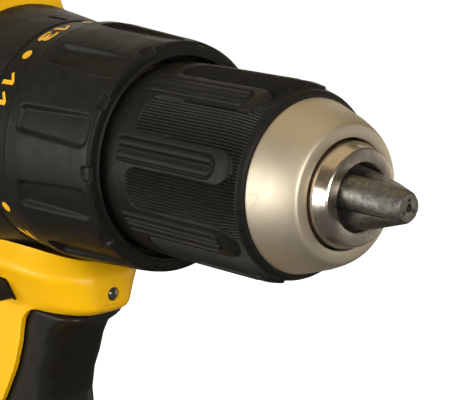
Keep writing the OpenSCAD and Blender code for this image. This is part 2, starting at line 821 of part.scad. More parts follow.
housing_left();
housing_right();
grip_left();
grip_right();
rear_cap();
housing_screws();
hook_inserts();
led_lens();
switch_module();
terminal_block();
motor_can();
field_magnets();
end_bell();
carbon_brushes();
motor_bearings();
rotor_shaft();
armature_core();
windings();
commutator();
fan();
gear_case();
ring_gear();
clutch_ring();
clutch_balls();
clutch_washer();
clutch_spring();
spindle_bearing();
color(GEAR_GREY) planet(1, 0);  // planet_1a
color(GEAR_GREY) planet(1, 1);  // planet_1b
color(GEAR_GREY) planet(1, 2);  // planet_1c
color(GEAR_GREY) planet(2, 0);  // planet_2a
color(GEAR_GREY) planet(2, 1);  // planet_2b
color(GEAR_GREY) planet(2, 2);  // planet_2c
color(GEAR_GREY) planet(3, 0);  // planet_3a
color(GEAR_GREY) planet(3, 1);  // planet_3b
color(GEAR_GREY) planet(3, 2);  // planet_3c
carrier_1();
carrier_2();
spindle();
chuck_body();
chuck_screw();
chuck_sleeve();
nose_ring();
chuck_nut();
jaw(0);  // jaw_1
jaw(1);  // jaw_2
jaw(2);  // jaw_3
clutch_collar();
clutch_nut();
speed_selector();
shift_wire();
shift_ring();
trigger();
direction_button();
battery_base();
battery_cover();
battery_cells();
battery_terminals();
battery_latch();
battery_screws();
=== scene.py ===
"""Cordless drill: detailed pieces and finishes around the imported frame.

Sizes are in millimetres in this file and become metres where a mesh is made. Stations run
along the chuck axis from the front face of the chuck's steel ring, forward positive. Angles
round the axis are in degrees, from the top towards -Y.
"""

import json
import logging
import math
from dataclasses import dataclass, field
from enum import Enum
from typing import Iterable, Sequence

import bmesh
import bpy
import numpy as np
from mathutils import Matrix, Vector


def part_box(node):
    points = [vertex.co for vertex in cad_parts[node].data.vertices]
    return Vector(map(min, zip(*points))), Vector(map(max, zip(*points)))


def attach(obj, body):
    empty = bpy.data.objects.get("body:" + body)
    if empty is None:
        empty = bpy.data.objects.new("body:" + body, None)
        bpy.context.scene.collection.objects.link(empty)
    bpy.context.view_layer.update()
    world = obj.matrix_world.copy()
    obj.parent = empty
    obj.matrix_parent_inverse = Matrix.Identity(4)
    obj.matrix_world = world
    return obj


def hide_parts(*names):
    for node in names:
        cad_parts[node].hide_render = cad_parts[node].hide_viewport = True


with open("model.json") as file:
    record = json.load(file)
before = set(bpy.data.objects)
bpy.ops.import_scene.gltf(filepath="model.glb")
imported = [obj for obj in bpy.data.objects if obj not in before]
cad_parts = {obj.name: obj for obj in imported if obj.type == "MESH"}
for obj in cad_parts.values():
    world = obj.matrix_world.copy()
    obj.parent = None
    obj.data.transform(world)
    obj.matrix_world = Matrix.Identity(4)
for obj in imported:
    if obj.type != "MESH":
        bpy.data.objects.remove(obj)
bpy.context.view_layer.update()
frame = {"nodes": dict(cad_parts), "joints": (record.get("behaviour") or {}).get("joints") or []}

logging.basicConfig(level=logging.INFO, format="%(message)s")
log = logging.getLogger("drill")

MM = 0.001
Colour = tuple[float, float, float]


# ---------------------------------------------------------------- frame positions


def joint_place(name: str) -> tuple[float, float, float]:
    """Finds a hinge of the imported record.

    Args:
        name: The joint's name.

    Returns:
        The hinge's place in millimetres.
    """
    for joint in frame["joints"]:
        if joint["name"] == name:
            x, y, z = (value / MM for value in joint["pos_m"])
            return x, y, z
    raise KeyError(name)


def node_box(node: str) -> tuple[Vector, Vector]:
    """Gives a node's box.

    Args:
        node: The node's name.

    Returns:
        Its lowest and highest corner in millimetres.
    """
    low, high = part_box(node)
    return low / MM, high / MM


RING_X = node_box("chuck_body")[1].x
AXIS_Z = joint_place("chuck_spin")[2]


# ---------------------------------------------------------------- outlines and ramps


def ramp(start: float, end: float, value: np.ndarray) -> np.ndarray:
    """Eases from 0 to 1.

    Args:
        start: Value where the ramp leaves 0.
        end: Value where it reaches 1; it may be below start.
        value: The values to read the ramp at.

    Returns:
        The ramp's height for each value.
    """
    part = np.clip((value - start) / (end - start), 0.0, 1.0)
    return part * part * (3 - 2 * part)


def rounded(points: Sequence[Sequence[float]], radius: float, steps: int = 5) -> np.ndarray:
    """Rounds the corners of a closed outline.

    Args:
        points: Corners in order.
        radius: Corner radius, made smaller where an edge is too short for it.
        steps: Number of arc segments for each corner.

    Returns:
        The rounded outline's points.
    """
    corners = np.asarray(points, float)
    count = len(corners)
    result = []
    for index in range(count):
        here = corners[index]
        to_last = corners[index - 1] - here
        to_next = corners[(index + 1) % count] - here
        length_last, length_next = np.linalg.norm(to_last), np.linalg.norm(to_next)
        a, b = to_last / length_last, to_next / length_next
        half = math.acos(float(np.clip(a @ b, -1, 1))) / 2
        if half > math.radians(86):
            result.append(here)
            continue
        back = min(radius / math.tan(half), 0.48 * length_last, 0.48 * length_next)
        start, end = here + a * back, here + b * back
        for step in range(steps + 1):
            t = step / steps
            result.append((1 - t) ** 2 * start + 2 * t * (1 - t) * here + t * t * end)
    return np.array(result)


def pulled_in(outline: np.ndarray, distance: float) -> np.ndarray:
    """Moves a counter-clockwise outline inwards.

    Args:
        outline: The outline's points.
        distance: How far each point moves along its normal.

    Returns:
        The smaller outline, with the same number of points.
    """
    ahead = np.roll(outline, -1, axis=0) - outline
    behind = outline - np.roll(outline, 1, axis=0)
    ahead /= np.linalg.norm(ahead, axis=1, keepdims=True)
    behind /= np.linalg.norm(behind, axis=1, keepdims=True)
    along = ahead + behind
    along /= np.linalg.norm(along, axis=1, keepdims=True)
    turn = np.clip((ahead * along).sum(1), 0.5, 1)
    normal = np.stack([-along[:, 1], along[:, 0]], axis=1)
    return outline + normal * (distance / turn)[:, None]


def oval(centre: float, half_length: float, half_width: float, power: float, count: int = 96) -> np.ndarray:
    """Makes a superellipse outline in X and Y.

    Args:
        centre: X of its centre.
        half_length: Half its size along X.
        half_width: Half its size along Y.
        power: 2 is an ellipse; larger is squarer.
        count: Number of points.

    Returns:
        The outline's points, counter-clockwise.
    """
    turn = np.arange(count) * 2 * math.pi / count
    cos, sin = np.cos(turn), np.sin(turn)
    x = np.sign(cos) * np.abs(cos) ** (2 / power) * half_length + centre
    y = np.sign(sin) * np.abs(sin) ** (2 / power) * half_width
    return np.stack([x, y], axis=1)


def slab_outline(length: float, width: float, radius: float, centre: float = 0.0) -> np.ndarray:
    """Makes a rounded rectangle.

    Args:
        length: Size along X.
        width: Size along Y.
        radius: Corner radius.
        centre: X of its centre.

    Returns:
        The outline's points, counter-clockwise.
    """
    points = []
    for quarter, (x, y) in enumerate([(1, 1), (-1, 1), (-1, -1), (1, -1)]):
        for step in range(9):
            turn = math.radians(90 * quarter + 90 * step / 8)
            points.append((
                centre + x * (length / 2 - radius) + radius * math.cos(turn),
                y * (width / 2 - radius) + radius * math.sin(turn),
            ))
    return np.array(points)


# ---------------------------------------------------------------- meshes


def linked(name: str, data: bpy.types.ID) -> bpy.types.Object:
    """Makes an object of some data and links it to the scene.

    Args:
        name: The object's name.
        data: Its mesh, curve, light or camera.

    Returns:
        The new object.
    """
    thing = bpy.data.objects.new(name, data)
    bpy.context.scene.collection.objects.link(thing)
    return thing


def from_work(name: str, work: bmesh.types.BMesh) -> bpy.types.Object:
    """Turns a working mesh into an object.

    Args:
        name: The object's name.
        work: The working mesh, which is freed.

    Returns:
        The new object.
    """
    mesh = bpy.data.meshes.new(name)
    work.to_mesh(mesh)
    work.free()
    return linked(name, mesh)


def piece_from(name: str, points: np.ndarray, faces: Iterable[Sequence[int]]) -> bpy.types.Object:
    """Makes an object from points in millimetres.

    Args:
        name: The object's name.
        points: Its corners, one row each.
        faces: Corner numbers of each face.

    Returns:
        The new object, linked to the scene.
    """
    mesh = bpy.data.meshes.new(name)
    mesh.from_pydata((np.asarray(points) * MM).tolist(), [], [list(map(int, face)) for face in faces])
    mesh.validate()
    return linked(name, mesh)


def grid_faces(rows: int, columns: int, wrap_rows: bool) -> np.ndarray:
    """Numbers the quads of a grid whose columns close on themselves.

    Args:
        rows: Number of rows.
        columns: Number of columns.
        wrap_rows: Whether the last row joins the first.

    Returns:
        Four corner numbers for each quad.
    """
    row = np.arange(rows if wrap_rows else rows - 1)[:, None]
    column = np.arange(columns)[None, :]
    next_row, next_column = (row + 1) % rows, (column + 1) % columns
    corners = [
        row * columns + column,
        row * columns + next_column,
        next_row * columns + next_column,
        next_row * columns + column,
    ]
    return np.stack([np.broadcast_to(c, (len(row), columns)) for c in corners], axis=-1).reshape(-1, 4)


def face_outwards(piece: bpy.types.Object) -> bpy.types.Object:
    """Turns every face's normal outwards.

    Args:
        piece: A closed mesh object.

    Returns:
        The same object.
    """
    work = bmesh.new()
    work.from_mesh(piece.data)
    bmesh.ops.recalc_face_normals(work, faces=work.faces)
    work.to_mesh(piece.data)
    work.free()
    return piece


def round_axis(stations: np.ndarray, radii: np.ndarray, angles: np.ndarray) -> np.ndarray:
    """Places points round the chuck axis.

    Args:
        stations: Distance along the axis for each point.
        radii: Distance from the axis.
        angles: Degrees from the top towards -Y.

    Returns:
        The points, in three columns.
    """
    turn = np.radians(angles)
    x, y, z = np.broadcast_arrays(RING_X + stations, -radii * np.sin(turn), AXIS_Z + radii * np.cos(turn))
    return np.stack([x, y, z], axis=-1).reshape(-1, 3)


def drum_piece(name: str, stations: np.ndarray, radii: np.ndarray) -> bpy.types.Object:
    """Makes a hollow drum from one radius for each station and angle.

    Args:
        name: The object's name.
        stations: One station for each row; the last row joins the first.
        radii: Rows by columns.

    Returns:
        The drum.
    """
    rows, columns = radii.shape
    angles = np.arange(columns) * 360 / columns
    points = round_axis(stations[:, None], radii, angles[None, :])
    return face_outwards(piece_from(name, points, grid_faces(rows, columns, True)))


def turned_piece(name: str, profile: Sequence[Sequence[float]], columns: int = 192) -> bpy.types.Object:
    """Turns a closed profile about the chuck axis.

    Args:
        name: The object's name.
        profile: Station and radius of each point, clear of the axis.
        columns: Number of facets round the axis.

    Returns:
        The turned piece.
    """
    points = np.asarray(profile, float)
    return drum_piece(name, points[:, 0], np.repeat(points[:, 1:2], columns, axis=1))


def stacked_piece(name: str, sections: Sequence[np.ndarray]) -> bpy.types.Object:
    """Joins sections with the same number of points into a closed solid.

    Args:
        name: The object's name.
        sections: Points in three columns, one array for each section.

    Returns:
        The solid, with flat ends.
    """
    rows, columns = len(sections), len(sections[0])
    faces: list[Sequence[int]] = list(grid_faces(rows, columns, False))
    faces.append(list(range(columns))[::-1])
    faces.append([(rows - 1) * columns + column for column in range(columns)])
    return face_outwards(piece_from(name, np.concatenate(sections), faces))


class Lay(Enum):
    """How an outline lies: across X, Y or Z, with its thickness along that axis."""

    X = 0
    Y = 1
    Z = 2

    def place(self, outline: np.ndarray, height: float) -> np.ndarray:
        """Lays an outline out.

        Args:
            outline: Points in two columns.
            height: Their place along the thickness.

        Returns:
            The points in three columns.
        """
        level = np.full(len(outline), height)
        a, b = outline[:, 0], outline[:, 1]
        columns = {Lay.X: (level, a, b), Lay.Y: (a, level, b), Lay.Z: (a, b, level)}[self]
        return np.stack(columns, axis=1)


def pillow(
    name: str, outline: np.ndarray, low: float, high: float, edge: float, lay: Lay = Lay.Z, steps: int = 5
) -> bpy.types.Object:
    """Makes a plate of an outline with rounded rims.

    Args:
        name: The object's name.
        outline: A counter-clockwise outline.
        low: Lowest place along its thickness.
        high: Highest place along its thickness.
        edge: Radius of both rims.
        lay: Which way the plate lies.
        steps: Arc segments of a rim.

    Returns:
        The plate.
    """
    turns = [math.pi / 2 * step / steps for step in range(steps + 1)]
    levels = [(low + edge * (1 - math.sin(t)), edge * (1 - math.cos(t))) for t in reversed(turns)]
    levels += [(high - edge * (1 - math.sin(t)), edge * (1 - math.cos(t))) for t in turns]
    sections = [lay.place(pulled_in(outline, inset) if inset else outline, level) for level, inset in levels]
    return stacked_piece(name, sections)


def soft_block(name: str, low: Sequence[float], high: Sequence[float], edge: float = 0.0) -> bpy.types.Object:
    """Makes a box with rounded edges.

    Args:
        name: The object's name.
        low: Lowest corner.
        high: Highest corner.
        edge: Radius of the edges.

    Returns:
        The box.
    """
    work = bmesh.new()
    bmesh.ops.create_cube(work, size=1.0)
    for vert in work.verts:
        vert.co = Vector(
            (low[axis] + (vert.co[axis] + 0.5) * (high[axis] - low[axis])) * MM for axis in range(3)
        )
    if edge > 0:
        bmesh.ops.bevel(
            work, geom=work.edges[:], offset=edge * MM, segments=3, profile=0.5, affect="EDGES"
        )
    return from_work(name, work)


def side_block(
    name: str, side: int, x: Sequence[float], y: Sequence[float], z: Sequence[float], edge: float = 0.0
) -> bpy.types.Object:
    """Makes a box with rounded edges on one side of the middle plane.

    Args:
        name: The object's name.
        side: 1 for +Y, -1 for -Y.
        x: Its two ends along X.
        y: Its two distances from the middle plane.
        z: Its two heights.
        edge: Radius of the edges.

    Returns:
        The box.
    """
    across = sorted(side * distance for distance in y)
    return soft_block(name, (x[0], across[0], z[0]), (x[1], across[1], z[1]), edge)


def rod(
    name: str, start: Sequence[float], end: Sequence[float], radius: float, sides: int = 48, tip: float = 0.0
) -> bpy.types.Object:
    """Makes a round rod between two points.

    Args:
        name: The object's name.
        start: Centre of one end.
        end: Centre of the other end.
        radius: The rod's radius.
        sides: Number of facets.
        tip: Size of the chamfer at both ends.

    Returns:
        The rod.
    """
    first, last = Vector(start), Vector(end)
    along = (last - first).normalized()
    side = along.orthogonal().normalized()
    across = along.cross(side)
    length = (last - first).length
    levels = [(0.0, radius - tip), (tip, radius), (length - tip, radius), (length, radius - tip)]
    if tip == 0:
        levels = [(0.0, radius), (length, radius)]
    sections = []
    for level, r in levels:
        centre = first + along * level
        ring = [
            centre + r * (math.cos(t) * side + math.sin(t) * across)
            for t in (2 * math.pi * k / sides for k in range(sides))
        ]
        sections.append(np.array([list(p) for p in ring]))
    return stacked_piece(name, sections)


def joined(name: str, parts: Sequence[bpy.types.Object]) -> bpy.types.Object:
    """Puts several meshes into one object, each keeping its own surface.

    Args:
        name: The new object's name.
        parts: The objects, which are used up.

    Returns:
        The object that holds them all.
    """
    work = bmesh.new()
    for part in parts:
        work.from_mesh(part.data)
        discard(part)
    return from_work(name, work)


def discard(piece: bpy.types.Object) -> None:
    """Removes a working object and its mesh.

    Args:
        piece: The object.
    """
    mesh = piece.data
    bpy.data.objects.remove(piece)
    bpy.data.meshes.remove(mesh)


def copy_of(piece: bpy.types.Object, name: str) -> bpy.types.Object:
    """Copies an object with a mesh of its own.

    Args:
        piece: The object to copy.
        name: The copy's name.

    Returns:
        The copy.
    """
    return linked(name, piece.data.copy())


def settle(piece: bpy.types.Object) -> bpy.types.Object:
    """Applies an object's modifiers to its mesh.

    Args:
        piece: The object.

    Returns:
        The same object, without modifiers.
    """
    graph = bpy.context.evaluated_depsgraph_get()
    graph.update()
    mesh = bpy.data.meshes.new_from_object(piece.evaluated_get(graph))
    old = piece.data
    piece.modifiers.clear()
    piece.data = mesh
    bpy.data.meshes.remove(old)
    return piece


class Cut(Enum):
    """What a cutting tool does to a piece."""

    AWAY = "DIFFERENCE"
    KEEP = "INTERSECT"
    ADD = "UNION"


def worked(
    piece: bpy.types.Object, tools: Sequence[bpy.types.Object], cut: Cut = Cut.AWAY
) -> bpy.types.Object:
    """Cuts or adds closed tools one after another.

    Args:
        piece: The object to work on.
        tools: Closed objects, which are used up.
        cut: What the tools do.

    Returns:
        The same object.
    """
    for tool in tools:
        modifier = piece.modifiers.new("work", "BOOLEAN")
        modifier.solver = "MANIFOLD"
        modifier.operation = cut.value
        modifier.object = tool
        settle(piece)
        discard(tool)
    return piece


def melted(piece: bpy.types.Object, grain: float, passes: int) -> bpy.types.Object:
    """Melts overlapping solids into one skin and rounds where they meet.

    Args:
        piece: An object that holds overlapping closed meshes.
        grain: Size of the skin's cells.
        passes: Number of smoothing passes.

    Returns:
        The same object.
    """
    remesh = piece.modifiers.new("melt", "REMESH")
    remesh.mode = "VOXEL"
    remesh.voxel_size = grain * MM
    smooth = piece.modifiers.new("smooth", "SMOOTH")
    smooth.factor = 0.5
    smooth.iterations = passes
    return settle(piece)


def shaded(piece: bpy.types.Object, sharp_angle: float = 35.0) -> bpy.types.Object:
    """Shades a piece smooth, with sharp edges where its faces meet steeply.

    Args:
        piece: The object.
        sharp_angle: Degrees between faces from which an edge is sharp.

    Returns:
        The same object.
    """
    piece.data.polygons.foreach_set("use_smooth", [True] * len(piece.data.polygons))
    piece.data.set_sharp_from_angle(angle=math.radians(sharp_angle))
    return piece


def seated(
    piece: bpy.types.Object,
    body: str,
    paint: bpy.types.Material,
    stands_for: Sequence[str] = (),
    sharp_angle: float = 35.0,
) -> bpy.types.Object:
    """Finishes a piece and seats it on its body.

    Args:
        piece: The finished mesh.
        body: The CAD body that carries it.
        paint: Its material.
        stands_for: CAD nodes that the piece takes the place of.
        sharp_angle: Degrees between faces from which an edge is sharp.

    Returns:
        The same object.
    """
    shaded(piece, sharp_angle)
    piece.data.materials.clear()
    piece.data.materials.append(paint)
    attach(piece, body)
    if stands_for:
        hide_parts(*stands_for)
    log.info("%s: %d faces, on %s", piece.name, len(piece.data.polygons), body)
    return piece


# ---------------------------------------------------------------- shader groups


class Graph:
    """Adds nodes to one node tree and joins them."""

    def __init__(self, tree: bpy.types.NodeTree) -> None:
        """Keeps the tree that nodes are added to."""
        self.tree = tree

    def add(self, kind: str, **settings: object) -> bpy.types.Node:
        """Adds a node.

        Args:
            kind: The node's type name, without the ShaderNode prefix.
            settings: Properties to set on it.

        Returns:
            The node.
        """
        node = self.tree.nodes.new(kind if kind.startswith("Node") else "ShaderNode" + kind)
        for key, value in settings.items():
            setattr(node, key, value)
        return node

    def join(self, source: object, target: object) -> None:
        """Links a socket, or sets a plain value on it.

        Args:
            source: An output socket, a number or a colour.
            target: The input socket.
        """
        if isinstance(source, bpy.types.NodeSocket):
            self.tree.links.new(source, target)
        elif isinstance(source, (tuple, list)) and len(source) == 3 and target.type == "RGBA":
            target.default_value = (*source, 1.0)
        else:
            target.default_value = source

    def math(self, operation: str, a: object, b: object = 0.0, clamp: bool = False) -> bpy.types.NodeSocket:
        """Adds a maths node.

        Args:
            operation: The node's operation.
            a: First value or socket.
            b: Second value or socket.
            clamp: Whether the result stays between 0 and 1.

        Returns:
            Its output socket.
        """
        node = self.add("Math", operation=operation, use_clamp=clamp)
        self.join(a, node.inputs[0])
        self.join(b, node.inputs[1])
        return node.outputs[0]

    def span(
        self, value: object, low: float, high: float, to_low: float = 0.0, to_high: float = 1.0
    ) -> bpy.types.NodeSocket:
        """Maps a range of values to another, clamped.

        Args:
            value: The socket to map.
            low: Lowest input.
            high: Highest input.
            to_low: Output for the lowest input.
            to_high: Output for the highest input.

        Returns:
            The mapped socket.
        """
        node = self.add("MapRange", clamp=True)
        for source, target in zip((value, low, high, to_low, to_high), node.inputs):
            self.join(source, target)
        return node.outputs[0]

    def mix(self, part: object, a: object, b: object, blend: str = "MIX") -> bpy.types.NodeSocket:
        """Mixes two colours.

        Args:
            part: How much of the second colour.
            a: First colour or socket.
            b: Second colour or socket.
            blend: The blend type.

        Returns:
            The mixed colour socket.
        """
        node = self.add("Mix", data_type="RGBA", blend_type=blend, clamp_factor=True)
        self.join(part, node.inputs[0])
        self.join(a, node.inputs[6])
        self.join(b, node.inputs[7])
        return node.outputs[2]

    def noise(
        self, vector: object, scale: object, detail: float = 3.0, roughness: float = 0.55
    ) -> bpy.types.NodeSocket:
        """Adds a noise texture.

        Args:
            vector: Where it is read.
            scale: Its scale.
            detail: Number of octaves.
            roughness: Strength of the finer octaves.

        Returns:
            Its value socket.
        """
        node = self.add("TexNoise")
        self.join(vector, node.inputs["Vector"])
        self.join(scale, node.inputs["Scale"])
        node.inputs["Detail"].default_value = detail
        node.inputs["Roughness"].default_value = roughness
        return node.outputs[0]


def new_group(
    name: str, inputs: Sequence[tuple[str, str, float]], outputs: Sequence[tuple[str, str]]
) -> tuple[Graph, bpy.types.Node, bpy.types.Node]:
    """Starts a shader node group.

    Args:
        name: The group's name.
        inputs: Name, socket type and default of each input.
        outputs: Name and socket type of each output.

    Returns:
        The group's graph, its input node and its output node.
    """
    tree = bpy.data.node_groups.new(name, "ShaderNodeTree")
    for label, kind, default in inputs:
        socket = tree.interface.new_socket(name=label, in_out="INPUT", socket_type=kind)
        if kind == "NodeSocketFloat":
            socket.default_value = default
    for label, kind in outputs:
        tree.interface.new_socket(name=label, in_out="OUTPUT", socket_type=kind)
    graph = Graph(tree)
    return graph, graph.add("NodeGroupInput"), graph.add("NodeGroupOutput")


VECTOR = "NodeSocketVector"
FLOAT = "NodeSocketFloat"


def make_moulded_grain() -> bpy.types.NodeTree:
    """Builds the fine pebbled grain that a textured mould leaves.

    Returns:
        The effect's node tree.
    """
    graph, inside, out = new_group(
        "moulded_grain",
        [("Vector", VECTOR, 0), ("Scale", FLOAT, 2500.0)],
        [("Height", FLOAT), ("Shade", FLOAT)],
    )
    vector, scale = inside.outputs[0], inside.outputs[1]
    fine = graph.noise(vector, scale, 2.0, 0.5)
    cells = graph.add("TexVoronoi", feature="SMOOTH_F1")
    graph.join(vector, cells.inputs["Vector"])
    graph.join(graph.math("MULTIPLY", scale, 0.8), cells.inputs["Scale"])
    height = graph.math("MULTIPLY_ADD", fine, 0.6)
    graph.join(cells.outputs[0], height.node.inputs[2])
    graph.join(height, out.inputs[0])
    graph.join(graph.span(fine, 0.35, 0.65), out.inputs[1])
    return graph.tree


def make_tone_drift() -> bpy.types.NodeTree:
    """Builds soft patches of lighter and darker tone.

    Returns:
        The effect's node tree.
    """
    graph, inside, out = new_group(
        "tone_drift",
        [("Vector", VECTOR, 0), ("Scale", FLOAT, 40.0)],
        [("Broad", FLOAT), ("Mottled", FLOAT)],
    )
    vector, scale = inside.outputs[0], inside.outputs[1]
    broad = graph.noise(vector, scale, 2.0, 0.5)
    mottled = graph.noise(vector, graph.math("MULTIPLY", scale, 7.0), 5.0, 0.65)
    graph.join(graph.span(broad, 0.3, 0.7), out.inputs[0])
    graph.join(graph.span(mottled, 0.3, 0.7), out.inputs[1])
    return graph.tree


def make_edge_wear() -> bpy.types.NodeTree:
    """Builds a mask of rubbed edges, broken up by noise.

    Returns:
        The effect's node tree.
    """
    graph, inside, out = new_group(
        "edge_wear",
        [("Vector", VECTOR, 0), ("Start", FLOAT, 0.53), ("End", FLOAT, 0.62)],
        [("Mask", FLOAT)],
    )
    geometry = graph.add("NewGeometry")
    breakup = graph.noise(inside.outputs[0], 900.0, 4.0, 0.7)
    bent = graph.math("MULTIPLY_ADD", breakup, 0.08)
    graph.join(graph.math("SUBTRACT", geometry.outputs["Pointiness"], 0.04), bent.node.inputs[2])
    mask = graph.add("MapRange", clamp=True)
    graph.join(bent, mask.inputs[0])
    graph.join(inside.outputs[1], mask.inputs[1])
    graph.join(inside.outputs[2], mask.inputs[2])
    graph.join(mask.outputs[0], out.inputs[0])
    return graph.tree


def make_settled_dust() -> bpy.types.NodeTree:
    """Builds a mask of pale specks and of a film on faces that look up.

    Returns:
        The effect's node tree.
    """
    graph, inside, out = new_group(
        "settled_dust",
        [("Vector", VECTOR, 0)],
        [("Film", FLOAT), ("Specks", FLOAT)],
    )
    vector = inside.outputs[0]
    geometry = graph.add("NewGeometry")
    split = graph.add("SeparateXYZ")
    graph.join(geometry.outputs["Normal"], split.inputs[0])
    upward = graph.span(split.outputs[2], 0.1, 1.0)
    film = graph.math("MULTIPLY", upward, graph.span(graph.noise(vector, 220.0, 5.0, 0.65), 0.3, 0.75))
    cells = graph.add("TexVoronoi", feature="F1")
    graph.join(vector, cells.inputs["Vector"])
    cells.inputs["Scale"].default_value = 330.0
    near = graph.span(cells.outputs["Distance"], 0.07, 0.03)
    rare = graph.span(graph.noise(vector, 160.0, 2.0, 0.5), 0.56, 0.6)
    graph.join(film, out.inputs[0])
    graph.join(graph.math("MULTIPLY", near, rare), out.inputs[1])
    return graph.tree


def make_turned_lines() -> bpy.types.NodeTree:
    """Builds the fine rings that a lathe leaves about the chuck axis.

    Returns:
        The effect's node tree.
    """
    graph, inside, out = new_group(
        "turned_lines",
        [("Vector", VECTOR, 0), ("Pitch", FLOAT, 9000.0)],
        [("Height", FLOAT), ("Shade", FLOAT)],
    )
    split = graph.add("SeparateXYZ")
    graph.join(inside.outputs[0], split.inputs[0])
    below = graph.math("SUBTRACT", split.outputs[2], AXIS_Z * MM)
    side = graph.math("MULTIPLY", split.outputs[1], split.outputs[1])
    square = graph.math("MULTIPLY", below, below)
    radius = graph.math("SQRT", graph.math("ADD", side, square))
    ring = graph.add("CombineXYZ")
    graph.join(split.outputs[0], ring.inputs[0])
    graph.join(radius, ring.inputs[1])
    lines = graph.noise(ring.outputs[0], inside.outputs[1], 3.0, 0.6)
    graph.join(lines, out.inputs[0])
    graph.join(graph.span(lines, 0.3, 0.7), out.inputs[1])
    return graph.tree


def make_brushed_lines() -> bpy.types.NodeTree:
    """Builds short strokes along X, as a belt leaves on hardened steel.

    Returns:
        The effect's node tree.
    """
    graph, inside, out = new_group(
        "brushed_lines",
        [("Vector", VECTOR, 0), ("Scale", FLOAT, 2200.0)],
        [("Height", FLOAT), ("Shade", FLOAT)],
    )
    stretch = graph.add("VectorMath", operation="MULTIPLY")
    graph.join(inside.outputs[0], stretch.inputs[0])
    stretch.inputs[1].default_value = (0.07, 1.0, 1.0)
    lines = graph.noise(stretch.outputs[0], inside.outputs[1], 4.0, 0.65)
    graph.join(lines, out.inputs[0])
    graph.join(graph.span(lines, 0.32, 0.68), out.inputs[1])
    return graph.tree


def make_scratches() -> bpy.types.NodeTree:
    """Builds a mask of sparse hairline scratches.

    Returns:
        The effect's node tree.
    """
    graph, inside, out = new_group(
        "scratches",
        [("Vector", VECTOR, 0), ("Scale", FLOAT, 120.0)],
        [("Mask", FLOAT)],
    )
    bend = graph.add("TexNoise")
    graph.join(inside.outputs[0], bend.inputs["Vector"])
    bend.inputs["Scale"].default_value = 30.0
    moved = graph.add("VectorMath", operation="MULTIPLY_ADD")
    graph.join(bend.outputs[1], moved.inputs[0])
    moved.inputs[1].default_value = (0.02, 0.02, 0.02)
    graph.join(inside.outputs[0], moved.inputs[2])
    stretch = graph.add("VectorMath", operation="MULTIPLY")
    graph.join(moved.outputs[0], stretch.inputs[0])
    stretch.inputs[1].default_value = (0.25, 1.0, 1.6)
    wave = graph.add("TexVoronoi", feature="DISTANCE_TO_EDGE")
    graph.join(stretch.outputs[0], wave.inputs["Vector"])
    graph.join(inside.outputs[1], wave.inputs["Scale"])
    line = graph.span(wave.outputs["Distance"], 0.012, 0.004)
    patch = graph.span(graph.noise(inside.outputs[0], 70.0, 2.0, 0.5), 0.52, 0.62)
    graph.join(graph.math("MULTIPLY", line, patch), out.inputs[0])
    return graph.tree


class Effect(Enum):
    """The shared surface effects and the functions that build them."""

    GRAIN = "moulded_grain"
    DRIFT = "tone_drift"
    WEAR = "edge_wear"
    DUST = "settled_dust"
    TURNED = "turned_lines"
    BRUSHED = "brushed_lines"
    SCRATCHES = "scratches"


def build_effects() -> None:
    """Builds each shared effect once."""
    for make in (
        make_moulded_grain,
        make_tone_drift,
        make_edge_wear,
        make_settled_dust,
        make_turned_lines,
        make_brushed_lines,
        make_scratches,
    ):
        make()


class MaterialGraph(Graph):
    """The node graph of one material, with its shader and its coordinates."""

    def __init__(self, name: str) -> None:
        """Starts a material with an empty Principled shader.

        Args:
            name: The material's name.
        """
        self.material = bpy.data.materials.new(name)
        self.material.use_nodes = True
        super().__init__(self.material.node_tree)
        self.shader = self.tree.nodes["Principled BSDF"]
        self.place = self.add("TexCoord").outputs["Object"]

    def effect(self, effect: Effect, **values: float) -> bpy.types.Node:
        """Places a shared effect.

        Args:
            effect: Which effect.
            values: Its inputs by name.

        Returns:
            The group node.
        """
        node = self.add("Group")
        node.node_tree = bpy.data.node_groups[effect.value]
        self.join(self.place, node.inputs[0])
        for key, value in values.items():
            self.join(value, node.inputs[key])
        return node

    def plain(self, **values: object) -> None:
        """Sets plain values on the shader's own sockets.

        Args:
            values: Values by the name of their socket, with _ for a space.
        """
        for key, value in values.items():
            self.join(value, self.shader.inputs[key.replace("_", " ")])

    def dress(
        self, colour: object, roughness: object, height: object, depth: float, reach: float
    ) -> bpy.types.Material:
        """Joins colour, roughness and bump to the shader.

        Args:
            colour: Base colour socket.
            roughness: Roughness socket.
            height: Bump height socket.
            depth: Strength of the bump.
            reach: Height of the bump in metres.

        Returns:
            The finished material.
        """
        self.join(colour, self.shader.inputs["Base Color"])
        self.join(roughness, self.shader.inputs["Roughness"])
        bump = self.add("Bump")
        bump.inputs["Strength"].default_value = depth
        bump.inputs["Distance"].default_value = reach
        self.join(height, bump.inputs["Height"])
        self.join(bump.outputs[0], self.shader.inputs["Normal"])
        return self.material


# ---------------------------------------------------------------- finishes


